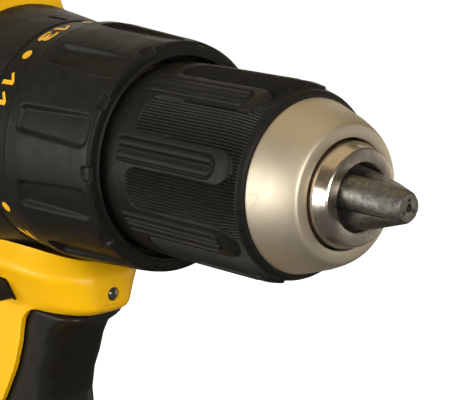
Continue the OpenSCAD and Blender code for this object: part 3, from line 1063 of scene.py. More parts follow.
@dataclass(frozen=True)
class MouldedPlastic:
    """Moulded plastic with a fine grain, rubbed edges and a trace of dust."""

    name: str
    colour: Colour
    deep: Colour
    rubbed: Colour
    roughness: float = 0.42
    swing: float = 0.12
    grain: float = 2600.0
    depth: float = 0.25
    reach: float = 0.00004
    dust: float = 0.10
    specular: float = 0.5

    def make(self) -> bpy.types.Material:
        """Builds the material.

        Returns:
            The material.
        """
        graph = MaterialGraph(self.name)
        grain = graph.effect(Effect.GRAIN, Scale=self.grain)
        drift = graph.effect(Effect.DRIFT, Scale=35.0)
        wear = graph.effect(Effect.WEAR)
        dust = graph.effect(Effect.DUST)
        scratches = graph.effect(Effect.SCRATCHES)
        base = graph.mix(drift.outputs[0], self.colour, self.deep)
        base = graph.mix(graph.math("MULTIPLY", grain.outputs[1], 0.25), base, self.deep)
        rubbed = graph.math("MULTIPLY", wear.outputs[0], 0.5)
        base = graph.mix(
            graph.math("MAXIMUM", rubbed, graph.math("MULTIPLY", scratches.outputs[0], 0.35)), base,
            self.rubbed,
        )
        film = graph.math("MULTIPLY", dust.outputs[0], self.dust)
        specks = graph.math("MULTIPLY", dust.outputs[1], min(1.0, self.dust * 4))
        base = graph.mix(graph.math("MAXIMUM", film, specks), base, (0.36, 0.33, 0.27))
        low, high = self.roughness - self.swing / 2, self.roughness + self.swing
        roughness = graph.span(drift.outputs[1], 0.0, 1.0, low, high)
        roughness = graph.math("ADD", roughness, graph.math("MULTIPLY", film, 0.3), clamp=True)
        graph.plain(Specular_IOR_Level=self.specular)
        return graph.dress(base, roughness, grain.outputs[0], self.depth, self.reach)


@dataclass(frozen=True)
class TurnedMetal:
    """Metal turned on a lathe, with fine rings, tarnish and light scratches."""

    name: str
    colour: Colour
    tarnish: Colour
    roughness: float = 0.3
    swing: float = 0.14
    pitch: float = 9000.0
    depth: float = 0.2
    stain: float = 0.5
    warm_specks: float = 0.0

    def make(self) -> bpy.types.Material:
        """Builds the material.

        Returns:
            The material.
        """
        graph = MaterialGraph(self.name)
        lines = graph.effect(Effect.TURNED, Pitch=self.pitch)
        drift = graph.effect(Effect.DRIFT, Scale=60.0)
        scratches = graph.effect(Effect.SCRATCHES, Scale=200.0)
        grain = graph.effect(Effect.GRAIN, Scale=5200.0)
        stained = graph.math(
            "MULTIPLY", graph.math("MULTIPLY", drift.outputs[0], drift.outputs[1]), self.stain
        )
        base = graph.mix(stained, self.colour, self.tarnish)
        base = graph.mix(graph.math("MULTIPLY", lines.outputs[1], 0.18), base, self.tarnish)
        if self.warm_specks:
            dust = graph.effect(Effect.DUST)
            base = graph.mix(
                graph.math("MULTIPLY", dust.outputs[1], self.warm_specks), base, (0.75, 0.55, 0.32)
            )
        roughness = graph.span(drift.outputs[1], 0.0, 1.0, self.roughness, self.roughness + self.swing)
        roughness = graph.math("ADD", roughness, graph.math("MULTIPLY", lines.outputs[1], 0.05))
        roughness = graph.math(
            "ADD", roughness, graph.math("MULTIPLY", scratches.outputs[0], 0.15), clamp=True
        )
        height = graph.math("ADD", lines.outputs[0], graph.math("MULTIPLY", grain.outputs[0], 0.6))
        graph.plain(Metallic=1.0)
        return graph.dress(base, roughness, height, self.depth, 0.00002)


@dataclass(frozen=True)
class BrushedSteel:
    """Hardened steel with strokes along the axis and dark oxide mottling."""

    name: str
    colour: Colour
    oxide: Colour
    roughness: float = 0.34
    swing: float = 0.2
    depth: float = 0.35

    def make(self) -> bpy.types.Material:
        """Builds the material.

        Returns:
            The material.
        """
        graph = MaterialGraph(self.name)
        lines = graph.effect(Effect.BRUSHED)
        drift = graph.effect(Effect.DRIFT, Scale=140.0)
        wear = graph.effect(Effect.WEAR, Start=0.52, End=0.58)
        mottled = graph.math("MULTIPLY", drift.outputs[1], 0.85)
        base = graph.mix(mottled, self.colour, self.oxide)
        base = graph.mix(graph.math("MULTIPLY", lines.outputs[1], 0.35), base, self.oxide)
        base = graph.mix(graph.math("MULTIPLY", wear.outputs[0], 0.7), base, (0.42, 0.40, 0.35))
        roughness = graph.span(drift.outputs[0], 0.0, 1.0, self.roughness, self.roughness + self.swing)
        roughness = graph.math("ADD", roughness, graph.math("MULTIPLY", lines.outputs[1], 0.1), clamp=True)
        height = graph.math("ADD", lines.outputs[0], graph.math("MULTIPLY", drift.outputs[1], 0.8))
        graph.plain(Metallic=1.0)
        return graph.dress(base, roughness, height, self.depth, 0.00004)


@dataclass(frozen=True)
class SoftRubber:
    """Overmoulded rubber with a matt pebbled skin."""

    name: str
    colour: Colour
    deep: Colour
    roughness: float = 0.62

    def make(self) -> bpy.types.Material:
        """Builds the material.

        Returns:
            The material.
        """
        graph = MaterialGraph(self.name)
        grain = graph.effect(Effect.GRAIN, Scale=1500.0)
        drift = graph.effect(Effect.DRIFT, Scale=45.0)
        dust = graph.effect(Effect.DUST)
        wear = graph.effect(Effect.WEAR)
        base = graph.mix(drift.outputs[0], self.colour, self.deep)
        base = graph.mix(graph.math("MULTIPLY", wear.outputs[0], 0.3), base, (0.09, 0.09, 0.085))
        film = graph.math("MULTIPLY", graph.math("ADD", dust.outputs[0], dust.outputs[1]), 0.14)
        base = graph.mix(film, base, (0.36, 0.33, 0.27))
        roughness = graph.span(drift.outputs[1], 0.0, 1.0, self.roughness - 0.08, self.roughness + 0.12)
        graph.plain(Specular_IOR_Level=0.35)
        return graph.dress(base, roughness, grain.outputs[0], 0.5, 0.00008)


@dataclass(frozen=True)
class InnerMetal:
    """Plain inner metal: sintered, plated, wound or stamped."""

    name: str
    colour: Colour
    tone: Colour
    roughness: float = 0.4
    metallic: float = 1.0
    scale: float = 3000.0

    def make(self) -> bpy.types.Material:
        """Builds the material.

        Returns:
            The material.
        """
        graph = MaterialGraph(self.name)
        grain = graph.effect(Effect.GRAIN, Scale=self.scale)
        drift = graph.effect(Effect.DRIFT, Scale=90.0)
        wear = graph.effect(Effect.WEAR)
        base = graph.mix(drift.outputs[1], self.colour, self.tone)
        base = graph.mix(
            graph.math("MULTIPLY", wear.outputs[0], 0.4), base,
            tuple(min(1.0, c * 1.5) for c in self.colour),
        )
        roughness = graph.span(drift.outputs[0], 0.0, 1.0, self.roughness, self.roughness + 0.18)
        graph.plain(Metallic=self.metallic)
        return graph.dress(base, roughness, grain.outputs[0], 0.3, 0.00004)


@dataclass(frozen=True)
class LampLens:
    """Clear domed lens over a dark well, seen as dark glossy plastic."""

    name: str
    colour: Colour = (0.022, 0.021, 0.02)
    heart: Colour = (0.09, 0.08, 0.06)

    def make(self) -> bpy.types.Material:
        """Builds the material.

        Returns:
            The material.
        """
        graph = MaterialGraph(self.name)
        drift = graph.effect(Effect.DRIFT, Scale=400.0)
        scratches = graph.effect(Effect.SCRATCHES, Scale=500.0)
        base = graph.mix(graph.math("MULTIPLY", drift.outputs[1], 0.5), self.colour, self.heart)
        roughness = graph.span(drift.outputs[0], 0.0, 1.0, 0.07, 0.16)
        roughness = graph.math(
            "ADD", roughness, graph.math("MULTIPLY", scratches.outputs[0], 0.2), clamp=True
        )
        graph.plain(Coat_Weight=0.6, Coat_Roughness=0.05)
        return graph.dress(base, roughness, drift.outputs[1], 0.05, 0.00005)


@dataclass(frozen=True)
class PrintedInk:
    """Pad-printed ink, slightly worn through."""

    name: str
    colour: Colour
    under: Colour

    def make(self) -> bpy.types.Material:
        """Builds the material.

        Returns:
            The material.
        """
        graph = MaterialGraph(self.name)
        grain = graph.effect(Effect.GRAIN, Scale=3200.0)
        drift = graph.effect(Effect.DRIFT, Scale=180.0)
        thin = graph.span(drift.outputs[1], 0.75, 1.0, 0.0, 0.35)
        base = graph.mix(thin, self.colour, self.under)
        roughness = graph.span(drift.outputs[0], 0.0, 1.0, 0.42, 0.58)
        return graph.dress(base, roughness, grain.outputs[0], 0.2, 0.00004)


YELLOW: Colour = (0.82, 0.455, 0.0012)
BLACK: Colour = (0.0088, 0.009, 0.0075)


class Paints:
    """Every material, by name, made once."""

    def __init__(self) -> None:
        """Builds the shared effects and then each finish."""
        build_effects()
        finishes = [
            MouldedPlastic(
                "yellow_housing", YELLOW, (0.78, 0.415, 0.001), (0.86, 0.52, 0.02), roughness=0.4,
                swing=0.1, grain=2100.0, depth=0.12, dust=0.02, specular=0.3,
            ),
            MouldedPlastic(
                "black_sleeve", BLACK, (0.006, 0.0062, 0.005), (0.028, 0.027, 0.022), roughness=0.46,
                swing=0.1, dust=0.03, specular=0.13,
            ),
            MouldedPlastic(
                "black_collar", BLACK, (0.0065, 0.0063, 0.0052), (0.026, 0.025, 0.02), roughness=0.46,
                swing=0.1, grain=1900.0, depth=0.4, dust=0.03, specular=0.13,
            ),
            MouldedPlastic(
                "black_casing", (0.011, 0.011, 0.0098), (0.0075, 0.0075, 0.0066), (0.035, 0.034, 0.03),
                roughness=0.48, swing=0.1, grain=1700.0, depth=0.35, dust=0.04, specular=0.16,
            ),
            MouldedPlastic(
                "black_trigger", (0.011, 0.0098, 0.008), (0.007, 0.0064, 0.0054), (0.03, 0.028, 0.024),
                roughness=0.42, swing=0.1, grain=2400.0, depth=0.15, dust=0.02, specular=0.18,
            ),
            MouldedPlastic(
                "inner_plastic", (0.03, 0.03, 0.031), (0.02, 0.02, 0.021), (0.07, 0.07, 0.07),
                roughness=0.5, swing=0.12, dust=0.02,
            ),
            MouldedPlastic(
                "cell_wrap", (0.06, 0.22, 0.38), (0.045, 0.17, 0.31), (0.25, 0.4, 0.5), roughness=0.25,
                swing=0.08, grain=900.0, depth=0.06, dust=0.0,
            ),
            MouldedPlastic(
                "pressed_carbon", (0.03, 0.03, 0.033), (0.02, 0.02, 0.022), (0.08, 0.08, 0.085),
                roughness=0.6, swing=0.1, grain=3200.0, depth=0.5, dust=0.0,
            ),
            SoftRubber("grip_rubber", (0.017, 0.017, 0.0165), (0.011, 0.011, 0.0105)),
            TurnedMetal(
                "satin_nickel", (0.56, 0.495, 0.385), (0.50, 0.43, 0.33), roughness=0.5, swing=0.06,
                pitch=7000.0, depth=0.1, stain=0.4, warm_specks=0.35,
            ),
            TurnedMetal(
                "polished_steel", (0.58, 0.52, 0.44), (0.32, 0.26, 0.20), roughness=0.16, swing=0.12,
                pitch=12000.0, depth=0.14, stain=0.7,
            ),
            BrushedSteel("jaw_steel", (0.22, 0.215, 0.19), (0.07, 0.068, 0.06)),
            InnerMetal("gear_steel", (0.42, 0.42, 0.43), (0.30, 0.30, 0.31), roughness=0.36),
            InnerMetal("dark_steel", (0.10, 0.10, 0.105), (0.05, 0.05, 0.055), roughness=0.38),
            InnerMetal("plated_steel", (0.58, 0.59, 0.60), (0.44, 0.45, 0.46), roughness=0.28),
            InnerMetal(
                "copper_wire", (0.62, 0.27, 0.12), (0.45, 0.18, 0.08), roughness=0.3, metallic=1.0,
                scale=1200.0,
            ),
            InnerMetal("machined_brass", (0.66, 0.50, 0.22), (0.50, 0.36, 0.15), roughness=0.28),
            InnerMetal("contact_copper", (0.66, 0.40, 0.22), (0.52, 0.30, 0.16), roughness=0.3),
            InnerMetal(
                "ferrite", (0.06, 0.06, 0.062), (0.035, 0.035, 0.037), roughness=0.6, metallic=0.2,
                scale=1800.0,
            ),
            LampLens("lamp_lens"),
            PrintedInk("yellow_ink", (0.80, 0.42, 0.01), (0.30, 0.16, 0.01)),
        ]
        self.by_name = {finish.name: finish.make() for finish in finishes}

    def __getitem__(self, name: str) -> bpy.types.Material:
        """Gives a material by its name."""
        return self.by_name[name]


# ---------------------------------------------------------------- chuck


@dataclass
class TwistSleeve:
    """The black sleeve that opens and closes the chuck, with grip tongues and fine serrations."""

    columns: int = 720
    field_radius: float = 22.45
    tongues: int = 8
    first_tongue: float = 28.5
    tongue_half: float = 4.05
    tongue_centre: float = -22.15
    window_back: float = -50.6
    window_half: float = 4.6
    window_corner: float = 3.0
    relief_back: float = -54.0
    tooth_depth: float = 0.46
    rim_end: float = -16.6
    relief_turn: float = 0.35

    def stations(self) -> np.ndarray:
        """Gives the stations of the outer rows.

        Returns:
            Stations from the front to the back, closer where the relief changes.
        """
        return np.concatenate([
            [-15.4, -15.5, -15.8, -16.1, -16.4, -16.6, -16.8, -17.0, -17.3],
            np.arange(-17.65, -26.5, -0.16),
            np.arange(-27.0, -46.5, -1.5),
            np.arange(-47.0, -51.6, -0.2),
            [-52.2, -53.2, -53.7, -53.9, -54.1, -54.3, -54.6, -56.0, -58.0, -59.1, -59.4, -59.5],
        ])

    def tongue_distance(
        self, across: np.ndarray, station: np.ndarray, half: float, centre: float
    ) -> np.ndarray:
        """Measures how far points are outside a tongue with a round front end.

        Args:
            across: Distance from the tongue's middle line.
            station: Station of each point.
            half: Half width of the tongue.
            centre: Station of its round end's centre.

        Returns:
            Distances, negative inside.
        """
        front = np.hypot(across, station - centre)
        return np.where(station > centre, front, np.abs(across)) - half

    def radii(self, station: np.ndarray, angle: np.ndarray) -> np.ndarray:
        """Gives the sleeve's outer radius.

        Args:
            station: Stations, one for each row.
            angle: Angles, one for each column.

        Returns:
            Radii, rows by columns.
        """
        pitch = 360 / self.tongues
        off = (angle - self.first_tongue + pitch / 2) % pitch - pitch / 2
        across = np.radians(off) * self.field_radius
        station, across = np.broadcast_arrays(station, across)

        base = np.interp(station, [-60, -24, -21.5, -19.6, -17.7, -16.6, -15.9, -15.4],
                         [22.05, 22.0, 21.85, 21.45, 21.15, 20.9, 20.5, 20.0])
        tooth = (0.5 - 0.5 * np.cos(np.radians(angle * 360 / 2.0))) ** 2
        cut = self.tooth_depth * ramp(self.rim_end, self.rim_end - 0.4, station)
        serrated = base + 0.1 * ramp(self.rim_end, self.rim_end - 0.4, station) - cut * tooth

        top = np.interp(station, [-60, -59.1, -24, -21, -20, -19, -18.1],
                        [22.1, 22.5, self.field_radius, 22.42, 22.27, 21.98, 21.5])
        beside = across - self.relief_turn
        outer = self.tongue_distance(beside, station, 2.5, -25.3)
        slot = self.tongue_distance(beside, station, 0.54, -24.1)
        relief_on = ramp(self.relief_back - 0.25, self.relief_back, station)
        relief = -0.46 * np.exp(-((outer / 0.25) ** 2)) - 0.42 * np.exp(-((slot / 0.22) ** 2))
        bead = 0.1 * np.clip(1 - ((np.abs(beside) - 1.55) / 0.8) ** 2, 0, 1) * (outer < 0)
        top = top + (relief + bead) * relief_on

        inside = -self.tongue_distance(across, station, self.tongue_half, self.tongue_centre)
        half_pitch = math.radians(pitch / 2) * self.field_radius
        from_window = half_pitch - np.abs(across)
        side = from_window - (self.window_half - self.window_corner)
        rear = self.window_back + self.window_corner - station
        corner = np.hypot(np.maximum(side, 0), np.maximum(rear, 0))
        behind = corner + np.minimum(np.maximum(side, rear), 0) - self.window_corner
        inside = np.where(station < -40, np.maximum(inside, behind), inside)
        return serrated + (top - serrated) * ramp(-0.1, 0.22, inside)

    def build(self, paints: Paints) -> None:
        """Builds the sleeve.

        Args:
            paints: The materials.
        """
        angles = np.arange(self.columns) * 360 / self.columns
        outer = self.stations()
        radii = self.radii(outer[:, None], angles[None, :])
        inner = [
            (-59.5, 19.9), (-45, 19.9), (-30.5, 19.9), (-30.4, 20.65), (-21.5, 20.65), (-20.4, 17.6),
            (-15.4, 17.6),
        ]
        stations = np.concatenate([outer, [s for s, _ in inner]])
        inside = np.array([[r] * self.columns for _, r in inner])
        sleeve = drum_piece("twist_sleeve", stations, np.concatenate([radii, inside]))
        seated(sleeve, "sleeve", paints["black_sleeve"], ["chuck_sleeve"], 50)


@dataclass
class ChuckFront:
    """The nickel nose ring, the steel chuck body and the three jaws."""

    columns: int = 256
    jaw_angle: float = 13.5
    jaw_radius: float = 3.7
    jaw_reach: float = 13.25
    jaw_back: float = -25.0
    hole_play: float = 0.08
    bore: float = 7.45

    def nose_profile(self) -> list[tuple[float, float]]:
        """Gives the nose ring's profile.

        Returns:
            Station and radius of each point.
        """
        return [
            (-4.4, 12.2), (-4.16, 12.28), (-4.08, 12.5), (-4.12, 13.4), (-4.2, 14.4), (-4.28, 14.85),
            (-4.42, 15.12), (-4.66, 15.35), (-5.1, 15.66), (-6.0, 16.15), (-7.1, 16.66), (-8.6, 17.28),
            (-10.6, 17.93),
            (-12.9, 18.65), (-14.6, 19.17), (-15.05, 19.33), (-15.2, 19.36), (-15.3, 19.28), (-15.3, 17.5),
            (-20, 17.5), (-20, 16.2), (-14.5, 16.2), (-7, 12.9), (-6, 12.2),
        ]

    def body_profile(self) -> np.ndarray:
        """Gives the chuck body's profile with its small edge roundings.

        Returns:
            Station and radius of each point.
        """
        corners = [
            (0, self.bore + 0.25), (0, 10.3), (-0.32, 10.62), (-3.2, 11.55), (-4.4, 11.7), (-14, 11.7),
            (-18.5, 15.5), (-21.4, 15.5),
            (-21.4, 11.8), (-30.6, 11.8), (-30.6, 15.5), (-44.5, 15.5), (-46, 13), (-57.5, 13),
            (-57.5, 6.4), (-41, 6.4), (-41, 6.8), (-6, 6.8), (-5.4, self.bore), (-0.25, self.bore),
        ]
        return rounded(corners, 0.14, 3)

    def jaw_line(self, index: int, depth: float) -> tuple[float, float, float]:
        """Gives a point on a jaw's own axis.

        Args:
            index: Which jaw, from 0.
            depth: Distance back from the point where the three axes meet.

        Returns:
            The point.
        """
        turn = math.radians(60 + 120 * index)
        lean = math.radians(self.jaw_angle)
        radius = depth * math.sin(lean)
        x = RING_X + self.jaw_reach - depth * math.cos(lean)
        return x, -radius * math.sin(turn), AXIS_Z + radius * math.cos(turn)

    def jaw_index(self, number: int) -> int:
        """Finds which of the three places a numbered CAD jaw has.

        Args:
            number: The jaw's number in its node's name.

        Returns:
            The place's index for jaw_line.
        """
        low, high = node_box(f"jaw_{number}")
        centre = (low + high) / 2
        turn = math.degrees(math.atan2(-centre.y, centre.z - AXIS_Z)) % 360
        return round((turn - 60) / 120) % 3

    def wedge(self, index: int) -> bpy.types.Object:
        """Makes the wedge that a jaw is cut with, its flat faces ribbed along the axis.

        Args:
            index: Which jaw, from 0.

        Returns:
            The wedge.
        """
        steps = [(0.85, 0.42), (1.05, 0.12), (1.4, 0.12), (1.5, 0.34), (1.8, 0.34), (1.9, 0.12), (9, 0.12)]
        side = np.array([
            (along * 0.5 + inset * math.sin(math.pi / 3), along * math.sin(math.pi / 3) - inset * 0.5)
            for along, inset in steps
        ])
        mirror = side[::-1] * [1, -1]
        outline = np.concatenate([mirror, [(0.8, 0.0)], side, [(16, 13), (16, -13)]])
        turn = math.radians(60 + 120 * index)
        sections = []
        for station in (self.jaw_back, self.jaw_reach):
            radial, tangent = outline[:, 0], outline[:, 1]
            y = -(radial * math.sin(turn) + tangent * math.cos(turn))
            z = AXIS_Z + radial * math.cos(turn) - tangent * math.sin(turn)
            sections.append(np.stack([np.full(len(outline), RING_X + station), y, z], axis=1))
        return stacked_piece("wedge", sections)

    def build(self, paints: Paints) -> None:
        """Builds the nose ring, the chuck body and the jaws.

        Args:
            paints: The materials.
        """
        nose = turned_piece("nose_cover", self.nose_profile(), self.columns)
        seated(nose, "sleeve", paints["satin_nickel"], ["nose_ring"], 50)

        body = turned_piece("chuck_core", self.body_profile(), self.columns)
        radius = self.jaw_radius + self.hole_play
        holes = [rod("hole", self.jaw_line(i, -8), self.jaw_line(i, 70), radius) for i in range(3)]
        worked(body, holes)
        seated(body, "chuck", paints["polished_steel"], ["chuck_body"], 40)

        for number in (1, 2, 3):
            index = self.jaw_index(number)
            jaw = rod(
                f"jaw_{number}_steel", self.jaw_line(index, -6), self.jaw_line(index, 54),
                self.jaw_radius, 96,
            )
            worked(jaw, [self.wedge(index)], Cut.KEEP)
            chamfer = turned_piece("chamfer", [
                (self.jaw_reach + 1, 2.0), (self.jaw_reach + 1, 12), (-1, 12), (-1, 7.6), (3, 6.4),
                (self.jaw_reach - 0.7, 3.48), (self.jaw_reach - 0.02, 2.95),
            ], 96)
            worked(jaw, [chamfer])
            seated(jaw, f"jaw_{number}", paints["jaw_steel"], [f"jaw_{number}"], 28)


# ---------------------------------------------------------------- clutch collar


@dataclass
class ClutchCollar:
    """The torque collar with its recessed grip, its lip notches and its printed dial."""

    columns: int = 720
    recesses: int = 10
    first_recess: float = 34.5
    recess_front: float = -59.2
    recess_back: float = -83.4
    first_notch: float = 54.5
    numerals: tuple[str, ...] = ("13", "11", "9", "7", "5", "3", "1", "", "15")
    first_numeral: float = 18.5
    dial_step: float = 40.0
    numeral_foot: float = -94.6
    numeral_height: float = 4.7
    digit_width: float = 4.4
    digit_pitch: float = 5.1
    dot_station: float = -92.0
    dot_radius: float = 1.4
    ink_rise: float = 0.06
    ink_root: float = -0.5
    plate_half: float = 0.1
    recess_radius: float = 28.4
    lip_radius: float = 27.3

    profile_s: tuple[float, ...] = (
        -97, -96.5, -93.4, -87.1, -86.7, -86.3, -86.0, -82,
        -75, -67, -62.5, -60.2, -58.9, -58.5, -58.25, -58.1,
    )
    profile_r: tuple[float, ...] = (
        27.6, 27.95, 28.35, 28.72, 28.95, 29.05, 29.0, 29.0,
        28.5, 27.95, 27.7, 27.45, 27.2, 27.0, 26.7, 26.25,
    )

    def skin(self, station: np.ndarray) -> np.ndarray:
        """Gives the plain profile's radius at a station."""
        return np.interp(station, self.profile_s, self.profile_r)

    def stations(self) -> np.ndarray:
        """Gives the stations of the outer rows, from the front to the back.

        Returns:
            The stations.
        """
        return np.concatenate([
            [-58.1, -58.17, -58.25, -58.35],
            np.arange(-58.5, -61.0, -0.2),
            np.arange(-61.2, -66.0, -0.3),
            np.arange(-66.5, -81.5, -1.0),
            np.arange(-82.0, -86.0, -0.25),
            np.arange(-86.0, -87.3, -0.13),
            [-88, -90, -92, -94, -96, -96.3, -96.45, -96.5],
        ])

    def radii(self, station: np.ndarray, angle: np.ndarray) -> np.ndarray:
        """Gives the collar's outer radius.

        Args:
            station: Stations, one for each row.
            angle: Angles, one for each column.

        Returns:
            Radii, rows by columns.
        """
        pitch = 360 / self.recesses
        radius = self.skin(station)
        off = (angle - self.first_recess + pitch / 2) % pitch - pitch / 2
        across = np.abs(np.radians(off)) * self.recess_radius
        half = np.interp(station, [-84.7, -60], [3.15, 4.25])
        side = across - half
        along = np.maximum(self.recess_back - station, station - self.recess_front)
        corner = np.interp(station, [-80, -64], [1.4, 2.6])
        distance = np.hypot(np.maximum(side + corner, 0), np.maximum(along + corner, 0)) - corner
        distance = distance + np.minimum(np.maximum(side + corner, along + corner), 0)
        depth = np.interp(station, [-84.7, -80, -66, -59], [1.45, 1.4, 0.95, 0.55])
        recess = depth * ramp(0.25, -1.0, distance)

        off = (angle - self.first_notch + pitch / 2) % pitch - pitch / 2
        across = np.abs(np.radians(off)) * self.lip_radius
        round_end = np.hypot(np.maximum(across - 0.8, 0), np.maximum(-59.3 - station, 0)) - 0.9
        notch = 0.75 * ramp(0.15, -0.2, round_end)
        return radius - recess - notch

    def wrapped(self, name: str, flat: bpy.types.Object, angle: float, foot: float) -> bpy.types.Object:
        """Wraps a flat mesh onto the dial band.

        Args:
            name: The new name.
            flat: A mesh in X and Y, in millimetres, with its foot at Y = 0; it is used up.
            angle: Where its middle comes.
            foot: Station of its foot.

        Returns:
            The wrapped mesh.
        """
        work = bmesh.new()
        work.from_mesh(flat.data)
        discard(flat)
        for step in range(-11, 12):
            geometry = work.verts[:] + work.edges[:] + work.faces[:]
            bmesh.ops.bisect_plane(
                work, geom=geometry, plane_co=(step * 0.5 + 0.01, 0, 0), plane_no=(1, 0, 0)
            )
        for vert in work.verts:
            station = foot + vert.co.y
            radius = float(self.skin(np.array(station))) + (self.ink_rise if vert.co.z > 0 else self.ink_root)
            turn = math.radians(angle) + vert.co.x / radius
            vert.co = Vector((
                (RING_X + station) * MM, -radius * math.sin(turn) * MM,
                (AXIS_Z + radius * math.cos(turn)) * MM,
            ))
        bmesh.ops.recalc_face_normals(work, faces=work.faces)
        return from_work(name, work)

    def flat_plate(self, outline: Sequence[Sequence[float]]) -> bpy.types.Object:
        """Makes a thin flat plate whose mesh stays in millimetres.

        Args:
            outline: Its outline, counter-clockwise.

        Returns:
            The plate.
        """
        points = np.asarray(outline, float)
        sides = (-self.plate_half, self.plate_half)
        plate = stacked_piece("plate", [Lay.Z.place(points, side) for side in sides])
        for vert in plate.data.vertices:
            vert.co = vert.co / MM
        return plate

    def digit(self, character: str, centre: float) -> bpy.types.Object:
        """Makes one broad digit.

        Args:
            character: The digit.
            centre: Where its middle comes along the band.

        Returns:
            The mesh, with its foot at Y = 0.
        """
        if character == "1":
            high = self.numeral_height
            stroke = [(0.3, 0), (1.45, 0), (1.45, high), (0.5, high), (-1.9, 0.58 * high),
                      (-1.35, 0.44 * high),
                      (0.3, 0.74 * high)]
            return self.flat_plate([(centre + x, y) for x, y in stroke])
        curve = bpy.data.curves.new("digit", "FONT")
        curve.body = character
        curve.size = 1.0
        curve.extrude = self.plate_half
        curve.offset = 0.03
        curve.resolution_u = 6
        writer = linked("digit", curve)
        graph = bpy.context.evaluated_depsgraph_get()
        graph.update()
        mesh = bpy.data.meshes.new_from_object(writer.evaluated_get(graph))
        bpy.data.objects.remove(writer)
        bpy.data.curves.remove(curve)
        points = np.array([v.co for v in mesh.vertices])
        low, high = points.min(0), points.max(0)
        widen = self.digit_width / (high[0] - low[0])
        grow = self.numeral_height / (high[1] - low[1])
        for vert in mesh.vertices:
            vert.co.x = (vert.co.x - (low[0] + high[0]) / 2) * widen + centre
            vert.co.y = (vert.co.y - low[1]) * grow
        work = bmesh.new()
        work.from_mesh(mesh)
        bmesh.ops.remove_doubles(work, verts=work.verts, dist=1e-4)
        work.to_mesh(mesh)
        work.free()
        return linked("digit", mesh)

    def numeral(self, text: str) -> bpy.types.Object:
        """Makes a flat numeral.

        Args:
            text: Its digits.

        Returns:
            The mesh, centred along the band with its foot at Y = 0.
        """
        first = -self.digit_pitch * (len(text) - 1) / 2
        return joined("numeral", [self.digit(c, first + self.digit_pitch * i) for i, c in enumerate(text)])

    def disc(self, radius: float) -> bpy.types.Object:
        """Makes a flat dot about its own centre.

        Args:
            radius: The dot's radius.

        Returns:
            The mesh.
        """
        turns = np.arange(28) * 2 * math.pi / 28
        return self.flat_plate(np.stack([radius * np.cos(turns), radius * np.sin(turns)], axis=1))

    def drill_mark(self) -> bpy.types.Object:
        """Makes the plain outline of a drill bit that marks the locked setting.

        Returns:
            The mesh.
        """
        return self.flat_plate([(-0.9, 0), (0.9, 0), (0.9, 3.4), (0, 4.7), (-0.9, 3.4)])

    def build(self, paints: Paints) -> None:
        """Builds the collar and its printed dial.

        Args:
            paints: The materials.
        """
        angles = np.arange(self.columns) * 360 / self.columns
        outer = self.stations()
        inner = [(-96.5, 22.2), (-80, 22.2), (-62.8, 22.2), (-62, 23.7), (-58.2, 23.7), (-57.75, 23.85),
                 (-57.6, 24.1), (-57.7, 24.4),
                 (-58.15, 24.7), (-58.15, 25.2)]
        radii = np.concatenate([
            self.radii(outer[:, None], angles[None, :]), np.array([[r] * self.columns for _, r in inner])
        ])
        collar = drum_piece("torque_collar", np.concatenate([outer, [s for s, _ in inner]]), radii)
        seated(collar, "collar", paints["black_collar"], ["clutch_collar"], 50)

        marks = []
        for index, text in enumerate(self.numerals):
            angle = self.first_numeral + self.dial_step * index
            flat = self.numeral(text) if text else self.drill_mark()
            marks.append(self.wrapped("mark", flat, angle, self.numeral_foot))
            marks.append(
                self.wrapped("dot", self.disc(self.dot_radius), angle + self.dial_step / 2, self.dot_station)
            )
        dial = joined("dial_numerals", marks)
        seated(dial, "collar", paints["yellow_ink"], (), 30)


# ---------------------------------------------------------------- gear case and rear cap


